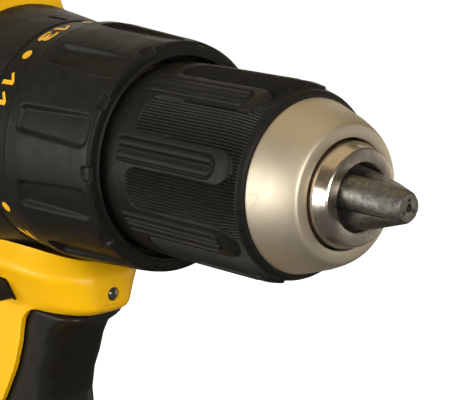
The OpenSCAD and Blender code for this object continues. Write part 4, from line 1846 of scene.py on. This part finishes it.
@dataclass
class Casings:
    """The fixed black ring of the gear case and the vented cap behind the motor."""

    columns: int = 720
    slot_turns: tuple[float, float] = (5.6, 2.0)
    slot_half: float = 0.5

    def build_gear_case(self, paints: Paints) -> None:
        """Builds the gear case with the index slot in its visible ring.

        Args:
            paints: The materials.
        """
        visible = np.concatenate([
            [-96.9, -97.0, -97.3],
            np.arange(-97.6, -103.4, -0.2),
            [-104, -106, -109, -112, -115, -115.4, -115.6],
        ])
        radius = np.interp(visible, [-115.6, -115.4, -105.3, -101, -97.3, -97, -96.9],
                           [30.3, 30.75, 29.5, 28.9, 28.3, 28.1, 27.8])
        angles = np.arange(self.columns) * 360 / self.columns
        turn = np.interp(visible, [-103, -98], self.slot_turns)[:, None]
        across = np.abs(np.radians((angles[None, :] - turn + 180) % 360 - 180)) * 28.8
        slot = ramp(self.slot_half + 0.3, self.slot_half - 0.1, across)
        slot = slot * (ramp(-102.9, -102.6, visible) * ramp(-98.0, -98.3, visible))[:, None]
        outer = radius[:, None] - 1.2 * slot
        inner = [
            (-115.6, 25.5), (-118, 25.5), (-118, 19.4), (-83.6, 19.4), (-83.6, 14.6), (-79.9, 14.6),
            (-79.9, 9.8), (-75, 9.8), (-75, 11.03), (-60, 11.03), (-60, 14), (-79.6, 14), (-79.6, 21.8),
            (-96.9, 21.8),
        ]
        rows = np.array([[r] * self.columns for _, r in inner])
        case = drum_piece(
            "gear_case_shell", np.concatenate([visible, [s for s, _ in inner]]), np.concatenate([outer, rows])
        )
        worked(
            case,
            [soft_block(
                "wire_channel", (RING_X - 119, -1.9, AXIS_Z + 17), (RING_X - 93, 1.9, AXIS_Z + 24.2)
            )],
        )
        seated(case, "frame", paints["black_casing"], ["gear_case"], 45)

    def build_rear_cap(self, paints: Paints) -> None:
        """Builds the rear cap with its two banks of vents and a shallow band.

        Args:
            paints: The materials.
        """
        corners = [
            (-190, 0.4), (-190, 18.5), (-187.8, 25.2), (-182, 29.1), (-176.6, 30.4), (-176.4, 29.9),
            (-175.2, 29.9),
            (-175.0, 30.8), (-170, 31.2), (-165.1, 31.4), (-165.1, 27.6), (-171, 27.6), (-182, 25),
            (-185.4, 21),
            (-185.4, 0.4),
        ]
        cap = turned_piece("rear_cap_shell", rounded(corners, 0.9, 5), 256)
        plug = rod("plug", (RING_X - 190, 0, AXIS_Z), (RING_X - 185.4, 0, AXIS_Z), 3.0)
        worked(cap, [plug], Cut.ADD)
        tools = []
        for side in (-1, 1):
            for row in range(-2, 3):
                z = AXIS_Z + 5.6 * row
                ends = (RING_X - 183, RING_X - 171)
                tools.append(side_block("vent", side, ends, (14, 38), (z - 1.2, z + 1.2), 0.9))
        worked(cap, tools)
        seated(cap, "frame", paints["black_casing"], ["rear_cap"], 40)

    def build(self, paints: Paints) -> None:
        """Builds both casings."""
        self.build_gear_case(paints)
        self.build_rear_cap(paints)


# ---------------------------------------------------------------- housing


@dataclass
class HandleShape:
    """The leaning handle as a stack of ovals."""

    top: float = 166.0
    lean: float = 0.062
    centre: float = -16.0

    def oval_at(self, z: float, grow: float = 0.0, count: int = 96) -> np.ndarray:
        """Gives the handle's outline at a level.

        Args:
            z: The level.
            grow: How far the outline is moved outwards.
            count: Number of points.

        Returns:
            The outline's points in X and Y.
        """
        length = np.interp(z, [80, 95, 112, 130, 150, 166, 178], [27, 26.4, 25.6, 25.0, 25.8, 27, 27])
        width = np.interp(z, [80, 95, 112, 130, 150, 166, 178], [16.5, 16.0, 15.9, 16.2, 16.5, 16.5, 16.5])
        middle = self.centre - (self.top - z) * self.lean
        return oval(middle, float(length) + grow, float(width) + grow, 2.45, count)

    def solid(self, name: str, low: float, high: float, grow: float = 0.0) -> bpy.types.Object:
        """Makes the handle between two levels.

        Args:
            name: The object's name.
            low: Lowest level.
            high: Highest level.
            grow: How far the outline is moved outwards.

        Returns:
            The solid.
        """
        levels = np.linspace(low, high, max(2, int((high - low) / 3)))
        return stacked_piece(name, [Lay.Z.place(self.oval_at(z, grow), z) for z in levels])


@dataclass
class Housing:
    """The two yellow shells: barrel, chin, handle and foot."""

    grain: float = 0.72
    smoothing: int = 4
    seam: float = 0.03
    lamp_drop: float = 38.0
    screw_hole: float = 1.95
    screw_well: float = 3.4
    handle: HandleShape = field(default_factory=HandleShape)
    screws: tuple[tuple[float, float, float], ...] = (
        (-9, 227, 20), (-34, 227, 20), (-34, 180, 19), (-6, 174, 14.5), (-36, 150, 12.5), (-35, 104, 12.5),
        (-4, 104, 12.5), (-40, 78, 14), (2, 78, 14),
    )

    def bow(self, half: float, front_half: float, front: float, level: float, rise: float) -> np.ndarray:
        """Gives the chin's outline at one level, a blunt bow.

        Args:
            half: Half width behind the bow.
            front_half: Half width of the flat front.
            front: X of the front.
            level: Height of the outline at the front.
            rise: How much higher it lies behind the bow.

        Returns:
            The outline's points, in three columns.
        """
        bend = 23.0
        turn = np.radians(np.linspace(0, 90, 19))
        x = bend + (front - bend) * np.sin(turn)
        y = front_half + (half - front_half) * np.cos(turn) ** 1.35
        side = np.stack([x, y], axis=1)
        flat = np.array([(front + 0.15, front_half * 0.55), (front + 0.15, -front_half * 0.55)])
        lower = side[::-1] * [1, -1]
        outline = np.concatenate([side, flat, lower, [(-30, -half), (-30, half)]])[::-1]
        lift = rise * np.clip((front - outline[:, 0]) / (front - bend), 0, 1)
        return np.column_stack([outline, level + lift])

    def chin(self) -> bpy.types.Object:
        """Makes the chin, widest at a ridge that runs round under the collar.

        Returns:
            The solid.
        """
        levels = [
            (-44.0, 10.2, 3.0, 37.6, 0), (-43.6, 10.6, 3.3, 38.7, 0), (-42.9, 11.1, 3.7, 40.2, 0),
            (-42.0, 11.8, 4.0, 41.6, 0), (-41.3, 12.4, 4.2, 42.1, 0), (-37.5, 14.6, 4.7, 42.1, 0.8),
            (-34.4, 16.7, 5.0, 42.2, 1.6), (-33.6, 17.1, 5.0, 42.1, 1.9), (-32.6, 16.6, 4.8, 41.5, 1.9),
            (-28.5, 14.2, 3.9, 38.0, 1.4), (-21, 12.0, 3.3, 35.0, 0),
        ]
        sections = [
            self.bow(half, nose, front, AXIS_Z + drop, rise) for drop, half, nose, front, rise in levels
        ]
        return stacked_piece("chin", sections)

    def barrel(self) -> bpy.types.Object:
        """Makes the motor barrel with two shallow steps along it.

        Returns:
            The solid.
        """
        corners = [
            (-115.7, 0.4), (-115.7, 30.9), (-130, 31.9), (-142.8, 32.3), (-143.5, 31.7), (-145.5, 31.7),
            (-146.2, 32.4), (-150, 32.4), (-159, 32.1), (-165, 31.4), (-165, 0.4),
        ]
        return turned_piece("barrel", rounded(corners, 0.5, 3), 192)

    def hump(self) -> bpy.types.Object:
        """Makes the raised hump round the speed selector.

        Returns:
            The solid.
        """
        levels = [
            (26.0, 0.0, 12.6), (29.6, 0.1, 12.3), (33.0, 0.8, 11.4), (34.1, 1.3, 10.7), (34.4, 1.9, 9.9)
        ]
        sections = []
        for rise, inset, half in levels:
            outline = slab_outline(24.3 - 3.5 * inset, 2 * half, 1.2)
            sections.append(Lay.Z.place(outline + [RING_X - 127.85 + 0.75 * inset, 0], AXIS_Z + rise))
        return stacked_piece("hump", sections)

    def foot(self) -> bpy.types.Object:
        """Makes the foot that the battery slides into, drawn up into the handle.

        Returns:
            The solid.
        """
        sections = []
        for inset, z in ((1.6, 50.5), (0.5, 50.9), (0.0, 52.0), (0.0, 61.0), (0.4, 63.4), (1.4, 65.2)):
            sections.append(Lay.Z.place(oval(-5, 53 - inset, 36 - inset, 7.0), z))
        for z in np.linspace(66.5, 92, 16):
            rise = (92 - z) / 25.5
            pull = rise ** 2.6
            post = oval(self.handle.centre - (self.handle.top - z) * self.handle.lean, 26.6, 16.3, 2.45)
            plate = oval(-5, 50.5, 33.5, 5.0)
            sections.append(Lay.Z.place(post + (plate - post) * pull, z))
        return stacked_piece("foot", sections)

    def trough(self) -> bpy.types.Object:
        """Makes the tool that clears the collar and the black ring in front of the barrel.

        Returns:
            The tool.
        """
        levels = [(-115.7, 31.0), (-109, 30.1), (-97, 29.9), (-50, 29.9)]
        turns = np.arange(160) * 2.25
        sections = [
            round_axis(np.full(160, station), np.full(160, radius), turns) for station, radius in levels
        ]
        return stacked_piece("trough", sections)

    def cheek(self) -> bpy.types.Object:
        """Makes the walls beside the trigger, rounded where they meet the chin.

        Returns:
            The solid.
        """
        corners = [
            (-14, 166), (-14, 128), (6, 128), (10.5, 134), (15.5, 143), (18.0, 150), (18.8, 154.5),
            (19.6, 157.2),
            (21.4, 159.4), (24.5, 161.2), (28, 162.4), (27, 166),
        ]
        return pillow("cheek", rounded(corners, 2.0, 4)[::-1], -11.6, 11.6, 0.8, Lay.Y, 3)

    def bore(self, front: float, back: float, radius: float) -> bpy.types.Object:
        """Makes a round tool about the chuck axis, from one station to another."""
        return rod("bore", (RING_X + back, 0, AXIS_Z), (RING_X + front, 0, AXIS_Z), radius, 160)

    def cutters(self) -> list[bpy.types.Object]:
        """Makes the tools that hollow the housing and open its pockets.

        Returns:
            The tools, in the order that they are used.
        """
        lamp_z = AXIS_Z - self.lamp_drop
        tools = [
            self.bore(-121, -170, 28.0),
            self.bore(-114, -121.1, 25.9),
            self.trough(),
            self.bore(-165.05, -195, 33.5),
            self.handle.solid("hollow", 84, 175, -2.6),
            soft_block("trigger_pocket", (-12, -10, 123.2), (37.5, 10, 159.95), 0.6),
            soft_block("button_slot", (5.5, -40, 161.6), (18.5, 40, 167.9), 0.8),
            rod("lamp_seat", (28, 0, lamp_z), (38.9, 0, lamp_z), 2.56, 48),
            rod("lamp_hole", (30, 0, lamp_z), (60, 0, lamp_z), 1.76, 48),
            soft_block("crease", (41.8, -3.3, AXIS_Z - 40.5), (46, 3.6, AXIS_Z - 40.1), 0.12),
            soft_block(
                "selector_bed", (RING_X - 138, -5.6, AXIS_Z + 26.4), (RING_X - 116.9, 5.6, AXIS_Z + 29.6)
            ),
            soft_block(
                "selector_slot", (RING_X - 131, -3.8, AXIS_Z + 29), (RING_X - 116.9, 3.8, AXIS_Z + 40),
                0.8,
            ),
            soft_block("wire_slot", (RING_X - 126, -1.9, AXIS_Z + 20), (RING_X - 114, 1.9, AXIS_Z + 27)),
            soft_block("rail_throat", (-53, -18, 49.5), (60, 18, 62), 0.4),
            soft_block("rail_channel", (-53, -22, 56), (60, 22, 62), 0.4),
        ]
        for side in (-1, 1):
            tools.append(rod("insert_hole", (12, side * 26.5, 58), (12, side * 40, 58), 3.05, 40))
        for x, z, head in self.screws:
            tools.append(rod("screw_hole", (x, -head, z), (x, 9.6, z), self.screw_hole, 24))
            tools.append(rod("screw_well", (x, -40, z), (x, 2.1 - head, z), self.screw_well, 40))
        for row in range(4):
            x = -31 + 3.2 * row
            for side in (-1, 1):
                heights = (AXIS_Z - 9, AXIS_Z + 9)
                tools.append(side_block("side_line", side, (x, x + 1.3), (31.4, 40), heights))
        return tools

    def build(self, paints: Paints) -> None:
        """Builds the right and left shells.

        Args:
            paints: The materials.
        """
        post = self.handle.solid
        raw = joined("housing", [
            self.barrel(), self.chin(), post("post", 80, 178), self.foot(), self.cheek(), self.hump(),
        ])
        whole = melted(raw, self.grain, self.smoothing)
        worked(whole, self.cutters())
        for name, node, low, high in (
            ("shell_right", "housing_right", -60.0, -self.seam),
            ("shell_left", "housing_left", self.seam, 60.0),
        ):
            shell = copy_of(whole, name)
            worked(shell, [soft_block("side", (-100, low, -10), (100, high, 300))], Cut.KEEP)
            seated(shell, "frame", paints["yellow_housing"], [node], 32)
        discard(whole)

    def build_screws(self, paints: Paints) -> None:
        """Builds the housing screws with six-lobed recesses.

        Args:
            paints: The materials.
        """
        parts = []
        for x, z, head in self.screws:
            screw = rod("shank", (x, -head, z), (x, 9.5, z), 1.9, 24)
            cap = rod("head", (x, -head - 0.4, z), (x, -head + 2.0, z), 3.2, 48, 0.35)
            worked(screw, [cap], Cut.ADD)
            lobes = []
            for step in range(72):
                turn = math.radians(step * 5)
                radius = 1.35 + 0.25 * math.cos(6 * turn)
                lobes.append((x + radius * math.cos(turn), z + radius * math.sin(turn)))
            recess = pillow("recess", np.array(lobes), -head - 1.0, -head + 1.0, 0.05, Lay.Y, 1)
            worked(screw, [recess])
            parts.append(screw)
        screws = joined("case_screws", parts)
        seated(screws, "frame", paints["dark_steel"], ["housing_screws"], 30)


@dataclass
class GripSkins:
    """Rubber skins over the back and sides of the handle."""

    low: float = 88.3
    high: float = 163.5
    thickness: float = 1.7
    rib_pitch: float = 3.4
    rib_depth: float = 0.42
    handle: HandleShape = field(default_factory=HandleShape)

    def outer_grow(self, z: np.ndarray, turn: np.ndarray) -> np.ndarray:
        """Gives how far the skin stands out of the handle.

        Args:
            z: Levels, one for each row.
            turn: Degrees round the handle from the front, one for each column.

        Returns:
            Heights, rows by columns.
        """
        ends = np.minimum(z - self.low, self.high - z)
        rim = np.sqrt(np.clip(1 - (1 - np.clip(ends / 1.3, 0, 1)) ** 2, 0, 1))
        away = np.abs(turn)
        ribbed = ramp(52, 60, away) * ramp(150, 140, away) * ramp(self.low + 6, self.low + 9, z) * ramp(
            self.high - 8, self.high - 12, z)
        wave = 0.5 + 0.5 * np.cos(2 * math.pi * (z + away * 0.06) / self.rib_pitch)
        groove = self.rib_depth * np.clip(wave * 2.2 - 1.1, 0, 1) * ribbed
        return 0.12 + (self.thickness - 0.12) * rim - groove

    def half(self, name: str, side: int) -> bpy.types.Object:
        """Makes one half of the skin.

        Args:
            name: The object's name.
            side: 1 for +Y, -1 for -Y.

        Returns:
            The half, a closed shell.
        """
        columns = 220
        levels = np.concatenate([
            np.linspace(self.low, self.low + 1.3, 6), np.arange(self.low + 1.8, self.high - 1.6, 0.42),
            np.linspace(self.high - 1.3, self.high, 6),
        ])
        rows = []
        for z in levels:
            outline = self.handle.oval_at(float(z), 0.0, columns * 2)
            ahead = np.roll(outline, -1, axis=0) - np.roll(outline, 1, axis=0)
            ahead /= np.linalg.norm(ahead, axis=1, keepdims=True)
            normal = np.stack([ahead[:, 1], -ahead[:, 0]], axis=1)
            pick = np.arange(columns + 1)
            turn = pick * 180 / columns
            grow = self.outer_grow(np.array([z]), turn)[:, None]
            outer = outline[pick] + normal[pick] * grow
            inner = (outline[pick] + normal[pick] * 0.06)[::-1]
            ring = np.concatenate([outer, inner])
            ring[:, 1] = np.maximum(ring[:, 1], 0.05) * side
            rows.append(Lay.Z.place(ring, float(z)))
        return stacked_piece(name, rows)

    def build(self, paints: Paints) -> None:
        """Builds both skins and cuts them clear of the trigger and the screws.

        Args:
            paints: The materials.
        """
        front = rounded([(-2, 115.8), (60, 115.8), (60, 200), (-2, 200)], 7.0, 8)
        for name, node, side in (("skin_right", "grip_right", -1), ("skin_left", "grip_left", 1)):
            skin = self.half(name, side)
            tools = [pillow("front", front, -40, 40, 0.2, Lay.Y, 1)]
            if side < 0:
                tools += [
                    rod("well", (x, -40, z), (x, 0, z), 3.9, 40)
                    for x, z in ((-36, 150), (-35, 104), (-4, 104))
                ]
            worked(skin, tools)
            seated(skin, "frame", paints["grip_rubber"], [node], 40)


@dataclass
class Controls:
    """Trigger, direction button, speed selector and work lamp."""

    trigger_half: float = 9.5
    trigger_top: float = 159.6
    trigger_low: float = 123.8
    trigger_front: float = 37.2
    trigger_back: float = 1.0
    trigger_corner: float = 5.2

    def trigger_front_at(self, z: float) -> float:
        """Gives how far forward the trigger reaches at a level.

        Args:
            z: The level.

        Returns:
            X of its front.
        """
        down = [0.0, 0.5, 1.8, 4.0, 8.0, 13.0, 18.0, 24.0, 30.0, 33.8, 35.0, 35.8]
        back = [0.2, 0.3, 1.8, 5.2, 7.4, 9.0, 11.2, 12.3, 11.6, 11.4, 12.4, 14.6]
        return self.trigger_front - float(np.interp(self.trigger_top - z, down, back))

    def trigger_section(self, z: float, inset: float) -> np.ndarray:
        """Gives the trigger's outline at a level, round at its two front corners.

        Args:
            z: The level.
            inset: How far the outline is drawn in.

        Returns:
            The outline's points, in three columns.
        """
        front, half = self.trigger_front_at(z) - inset, self.trigger_half - inset
        corner = self.trigger_corner
        turns = np.radians(np.linspace(0, 90, 12))
        x = front - corner + corner * np.sin(turns)
        y = half - corner + corner * np.cos(turns)
        arc = np.stack([x, y], axis=1)
        outline = np.concatenate(
            [arc, arc[::-1] * [1, -1], [(self.trigger_back, -half), (self.trigger_back, half)]]
        )
        return Lay.Z.place(outline[::-1], z)

    def build_trigger(self, paints: Paints) -> None:
        """Builds the trigger with its hooked top and hollow front.

        Args:
            paints: The materials.
        """
        top, low = self.trigger_top, self.trigger_low
        levels = [(low, 1.2), (low + 0.35, 0.5), (low + 1.2, 0.0)]
        levels += [
            (float(z), 0.0)
            for z in np.linspace(low + 1.8, top - 0.5, 52)
        ] + [(top - 0.2, 0.1), (top, 0.4)]
        trigger = stacked_piece("trigger_lever", [self.trigger_section(z, inset) for z, inset in levels])
        hollow = soft_block(
            "hollow", (self.trigger_back - 3, -self.trigger_half + 2, low + 2.5),
            (self.trigger_back + 11, self.trigger_half - 2, top - 2.5),
        )
        worked(trigger, [hollow])
        seated(trigger, "trigger", paints["black_trigger"], ["trigger"], 35)

    def build_button(self, paints: Paints) -> None:
        """Builds the direction button with a ridged pad at each end.

        Args:
            paints: The materials.
        """
        low, high = node_box("direction_button")
        button = soft_block("direction_slide", low, high, 1.1)
        tools = []
        for side in (low.y, high.y):
            for row in range(4):
                x = low.x + 2.6 + 2.2 * row
                tools.append(
                    soft_block("groove", (x, side - 0.5, low.z + 1), (x + 0.9, side + 0.5, high.z - 1))
                )
        worked(button, tools)
        seated(button, "direction_button", paints["black_trigger"], ["direction_button"], 30)

    def build_selector(self, paints: Paints) -> None:
        """Builds the speed selector's plate and ribbed thumb pad.

        Args:
            paints: The materials.
        """
        low, high = node_box("speed_selector")
        plate = soft_block("speed_slide", (low.x, low.y, low.z), (high.x, high.y, low.z + 2.5), 0.3)
        pad_low, pad_high = RING_X - 130, RING_X - 122.2
        pad = soft_block("pad", (pad_low, -3.5, low.z + 2.3), (pad_high, 3.5, high.z), 0.8)
        worked(plate, [pad], Cut.ADD)
        tools = [
            soft_block(
                "rib", (pad_low + 1.2 + 2.2 * row, -5, high.z - 0.8),
                (pad_low + 2.2 + 2.2 * row, 5, high.z + 2),
            )
            for row in range(3)
        ]
        tools.append(
            soft_block("wire_pocket", (RING_X - 125.1, -1.3, low.z - 1), (RING_X - 123.3, 1.3, low.z + 1.1))
        )
        worked(plate, tools)
        seated(plate, "shifter", paints["black_trigger"], ["speed_selector"], 30)

    def build_lamp(self, paints: Paints) -> None:
        """Builds the lamp's domed lens.

        Args:
            paints: The materials.
        """
        low, high = node_box("led_lens")
        centre_z = (low.z + high.z) / 2
        flange, tip = (high.z - low.z) / 2, 1.7
        front = 41.5
        sections = [(low.x, flange - 0.2), (low.x + 0.2, flange), (38.7, flange), (38.75, tip)] + [
            (front + 1.2 * math.sin(t), tip * math.cos(t)) for t in np.radians(np.arange(0, 86, 8.5))
        ]
        turns = np.arange(48) * 2 * math.pi / 48
        rings = [
            np.stack([np.full(48, x), r * np.cos(turns), centre_z + r * np.sin(turns)], axis=1)
            for x, r in sections
        ]
        lens = stacked_piece("lamp_lens_dome", rings)
        seated(lens, "frame", paints["lamp_lens"], ["led_lens"], 40)

    def build(self, paints: Paints) -> None:
        """Builds all the controls.

        Args:
            paints: The materials.
        """
        self.build_trigger(paints)
        self.build_button(paints)
        self.build_selector(paints)
        self.build_lamp(paints)


# ---------------------------------------------------------------- battery


@dataclass
class Battery:
    """The slide-on battery: base tray, cover with rails, latch and screws."""

    length: float = 118.0
    width: float = 76.0
    corner: float = 11.0
    top: float = 50.0
    rail_top: float = 61.5
    wall: float = 3.0
    screw_x: float = 52.3
    screw_y: float = 29.0
    post_radius: float = 3.6
    head_radius: float = 2.3
    thread_radius: float = 1.7

    def slab(self, name: str, levels: Sequence[tuple[float, float]]) -> bpy.types.Object:
        """Stacks the battery's outline at several levels.

        Args:
            name: The object's name.
            levels: Height and inset of each section.

        Returns:
            The solid.
        """
        sections = []
        for z, inset in levels:
            outline = slab_outline(
                self.length - 2 * inset, self.width - 2 * inset, max(1.0, self.corner - inset)
            )
            sections.append(Lay.Z.place(outline, z))
        return stacked_piece(name, sections)

    def add_posts(
        self, piece: bpy.types.Object, post: tuple[float, float], bore: tuple[float, float], radius: float
    ) -> None:
        """Adds a hollow screw post at each of the four corners.

        Args:
            piece: The tray or the lid.
            post: Lowest and highest place of the posts.
            bore: Lowest and highest place of their holes.
            radius: The holes' radius.
        """
        for x in (-self.screw_x, self.screw_x):
            for y in (-self.screw_y, self.screw_y):
                tube = rod("post", (x, y, post[0]), (x, y, post[1]), self.post_radius, 32)
                worked(tube, [rod("bore", (x, y, bore[0]), (x, y, bore[1]), radius, 32)])
                worked(piece, [tube], Cut.ADD)

    def build_base(self, paints: Paints) -> None:
        """Builds the base tray with side panels and screw wells.

        Args:
            paints: The materials.
        """
        levels = [
            (0, 3.0), (0.25, 2.35), (0.8, 1.5), (1.6, 0.8), (2.8, 0.25), (4.2, 0.0), (25.4, 0.0),
            (25.8, 0.2), (26.0, 0.5),
        ]
        base = self.slab("battery_tray", levels)
        tools = [self.slab("hollow", [(3.0, self.wall), (40.0, self.wall)])]
        for side in (-1, 1):
            for row in range(3):
                z = 8.0 + 5.2 * row
                tools.append(side_block("groove", side, (-34, 34), (37.3, 42), (z, z + 2.2), 0.5))
            for x in (-self.screw_x, self.screw_x):
                y = side * self.screw_y
                tools.append(rod("well", (x, y, -1), (x, y, 3.2), self.head_radius, 32))
        worked(base, tools)
        self.add_posts(base, (2.5, 25.8), (-2.0, 40.0), self.head_radius)
        seated(base, "battery", paints["black_casing"], ["battery_base"], 30)

    def build_cover(self, paints: Paints) -> None:
        """Builds the cover with the rail block, terminal slots and latch well.

        Args:
            paints: The materials.
        """
        levels = [
            (26.1, 0.5), (26.3, 0.2), (26.7, 0.0), (45.5, 0.0), (47.4, 0.3), (48.8, 1.0), (49.6, 1.9),
            (50.0, 3.0),
        ]
        cover = self.slab("battery_lid", levels)
        rails = [
            soft_block("rail_foot", (-48, -17.6, self.top - 4), (42, 17.6, self.rail_top), 0.6),
            soft_block("rail", (-48, -21.6, 56.5), (42, 21.6, self.rail_top), 0.7),
        ]
        worked(cover, rails, Cut.ADD)
        tools = [self.slab("hollow", [(10.0, self.wall), (47.0, self.wall)])]
        for row in (-1.5, -0.5, 0.5, 1.5):
            tools.append(soft_block("terminal_slot", (-49, row * 8 - 0.9, 51), (-24, row * 8 + 0.9, 59.5)))
        tools.append(soft_block("latch_well", (43.4, -15.3, 30), (61, 15.3, 60), 0.8))
        for side in (-1, 1):
            tools.append(side_block("panel", side, (-30, 30), (37.3, 42), (33.0, 43.0), 0.6))
        worked(cover, tools)
        worked(cover, [soft_block("well_wall", (47.6, -16.8, 27.2), (48.2, 16.8, 47.3))], Cut.ADD)
        worked(cover, [soft_block("hook_well", (30, -8.3, 44), (61, 8.3, 62.5))])
        self.add_posts(cover, (26.3, 47.5), (20.0, 40.0), self.thread_radius)
        seated(cover, "battery", paints["black_casing"], ["battery_cover"], 30)

    def build_latch(self, paints: Paints) -> None:
        """Builds the release button with its ribs and hook.

        Args:
            paints: The materials.
        """
        latch = soft_block("battery_release", (48.4, -15, 34.5), (58.6, 15, 46.6), 1.0)
        worked(latch, [
            soft_block("arm", (31, -8, 46.5), (52, 8, 49.3), 0.3),
            soft_block("hook", (31, -8, 46.9), (36, 8, 60.8), 0.5),
        ], Cut.ADD)
        worked(latch, [
            soft_block(
                "rib", (57.9, -12.5, 36.6 + 2.5 * row), (60, 12.5, 37.8 + 2.5 * row)
            ) for row in range(4)
        ])
        seated(latch, "battery_latch", paints["black_trigger"], ["battery_latch"], 30)

    def build(self, paints: Paints) -> None:
        """Builds the battery's visible pieces.

        Args:
            paints: The materials.
        """
        self.build_base(paints)
        self.build_cover(paints)
        self.build_latch(paints)


# ---------------------------------------------------------------- inner nodes


@dataclass
class InnerParts:
    """Finishes for the CAD nodes that stay as they are."""

    finishes: dict[str, tuple[str, ...]] = field(default_factory=lambda: {
        "inner_plastic": ("switch_module", "terminal_block", "end_bell", "fan"),
        "plated_steel": (
            "motor_can", "motor_bearings", "spindle_bearing", "spindle", "rotor_shaft", "armature_core",
            "clutch_washer", "clutch_spring", "shift_wire", "clutch_balls",
        ),
        "gear_steel": ("ring_gear", "clutch_ring", "shift_ring", "carrier_1", "carrier_2", *(
            f"planet_{stage}{place}" for stage in "123" for place in "abc")),
        "dark_steel": ("battery_screws", "chuck_screw", "chuck_nut"),
        "copper_wire": ("windings",),
        "machined_brass": ("hook_inserts", "clutch_nut"),
        "contact_copper": ("battery_terminals", "commutator"),
        "ferrite": ("field_magnets",),
        "pressed_carbon": ("carbon_brushes",),
        "cell_wrap": ("battery_cells",),
    })

    def dress(self, paints: Paints) -> None:
        """Gives each node its material.

        Args:
            paints: The materials.
        """
        for finish, nodes in self.finishes.items():
            for node in nodes:
                piece = frame["nodes"][node]
                piece.data.materials.clear()
                piece.data.materials.append(paints[finish])
                log.info("%s: dressed as %s", node, finish)


# ---------------------------------------------------------------- studio


@dataclass
class Studio:
    """Floor, lights, sky and camera."""

    eye: tuple[float, float, float] = (0.38467, -0.27970, 0.28978)
    azimuth: float = 47.19
    elevation: float = 12.77
    lens: float = 148.5

    def floor(self) -> None:
        """Makes the pale floor under the drill."""
        size = 14.0
        points = np.array([(-size, -size, 0), (size, -size, 0), (size, size, 0), (-size, size, 0)]) / MM
        floor = piece_from("floor", points, [(0, 1, 2, 3)])
        graph = MaterialGraph("pale_floor")
        drift = graph.effect(Effect.DRIFT, Scale=3.0)
        base = graph.mix(
            graph.math("MULTIPLY", drift.outputs[0], 0.1), (0.52, 0.52, 0.52), (0.49, 0.49, 0.49)
        )
        roughness = graph.span(drift.outputs[1], 0.0, 1.0, 0.75, 0.85)
        graph.dress(base, roughness, drift.outputs[1], 0.02, 0.0001)
        graph.plain(Emission_Color=(1.0, 1.0, 1.0), Emission_Strength=0.93)
        floor.data.materials.append(graph.material)
        floor.visible_glossy = False
        floor.visible_diffuse = False

    def sky(self) -> None:
        """Makes a dim room: warm above, neutral at the sides, pale to the camera."""
        world = bpy.data.worlds.new("room")
        bpy.context.scene.world = world
        world.use_nodes = True
        graph = Graph(world.node_tree)
        background = world.node_tree.nodes["Background"]
        direction = graph.add("SeparateXYZ")
        graph.join(graph.add("TexCoord").outputs["Generated"], direction.inputs[0])
        up = graph.span(direction.outputs[2], -0.2, 0.9)
        tone = graph.mix(up, (0.13, 0.125, 0.115), (0.19, 0.15, 0.09))
        seen = graph.add("LightPath").outputs["Is Camera Ray"]
        graph.join(graph.mix(seen, tone, (1.0, 1.0, 1.0)), background.inputs["Color"])
        background.inputs["Strength"].default_value = 1.0

    def lamp(
        self,
        name: str,
        place: Sequence[float],
        aim: Sequence[float],
        size: tuple[float, float],
        watts: float,
        colour: Colour,
    ) -> None:
        """Hangs one soft rectangular light.

        Args:
            name: The light's name.
            place: Where it hangs, in metres.
            aim: The point it faces, in metres.
            size: Its width and height.
            watts: Its power.
            colour: Its colour.
        """
        light = bpy.data.lights.new(name, "AREA")
        light.shape = "RECTANGLE"
        light.size, light.size_y = size
        light.energy = watts
        light.color = colour
        holder = linked(name, light)
        holder.location = place
        holder.rotation_euler = (Vector(aim) - Vector(place)).to_track_quat("-Z", "Y").to_euler()

    def lights(self) -> None:
        """Hangs a key light at the near side, one in front, one at the far side, one above and one behind."""
        middle = (0.08, 0.0, 0.19)
        self.lamp("key", (-0.26, -0.84, 0.22), middle, (0.76, 0.42), 8.6, (1.0, 0.985, 0.95))
        self.lamp("front", (0.95, -0.42, 0.38), middle, (0.5, 0.5), 9.0, (1.0, 0.98, 0.95))
        self.lamp("far", (0.42, 0.98, 0.1), middle, (0.7, 0.5), 2.2, (1.0, 0.95, 0.86))
        self.lamp("top", (0.0, 0.1, 1.2), middle, (1.3, 1.1), 3.0, (1.0, 0.82, 0.54))
        self.lamp("rear", (-0.75, 0.75, 0.6), middle, (0.8, 0.7), 2.0, (1.0, 0.93, 0.82))

    def camera(self) -> None:
        """Sets the camera at its viewing angle."""
        data = bpy.data.cameras.new("camera")
        data.lens = self.lens
        data.sensor_width = 36.0
        data.clip_start = 0.01
        data.clip_end = 60.0
        holder = linked("camera", data)
        turn, rise = math.radians(self.azimuth), math.radians(self.elevation)
        back = Vector((math.sin(turn) * math.cos(rise), -math.cos(turn) * math.cos(rise), math.sin(rise)))
        holder.location = self.eye
        holder.rotation_mode = "QUATERNION"
        holder.rotation_quaternion = (-back).to_track_quat("-Z", "Y")
        bpy.context.scene.camera = holder

    def build(self) -> None:
        """Builds the floor, the room, the lights and the camera."""
        bpy.context.scene.view_settings.view_transform = "Standard"
        self.floor()
        self.sky()
        self.lights()
        self.camera()


def write_sizes() -> None:
    """Updates the view layer."""
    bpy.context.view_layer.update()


def main() -> None:
    """Builds the drill and its studio."""
    paints = Paints()
    Studio().build()
    ChuckFront().build(paints)
    TwistSleeve().build(paints)
    ClutchCollar().build(paints)
    Casings().build(paints)
    housing = Housing()
    housing.build(paints)
    housing.build_screws(paints)
    GripSkins().build(paints)
    Controls().build(paints)
    Battery().build(paints)
    InnerParts().dress(paints)
    write_sizes()


if __name__ == "__main__":
    main()
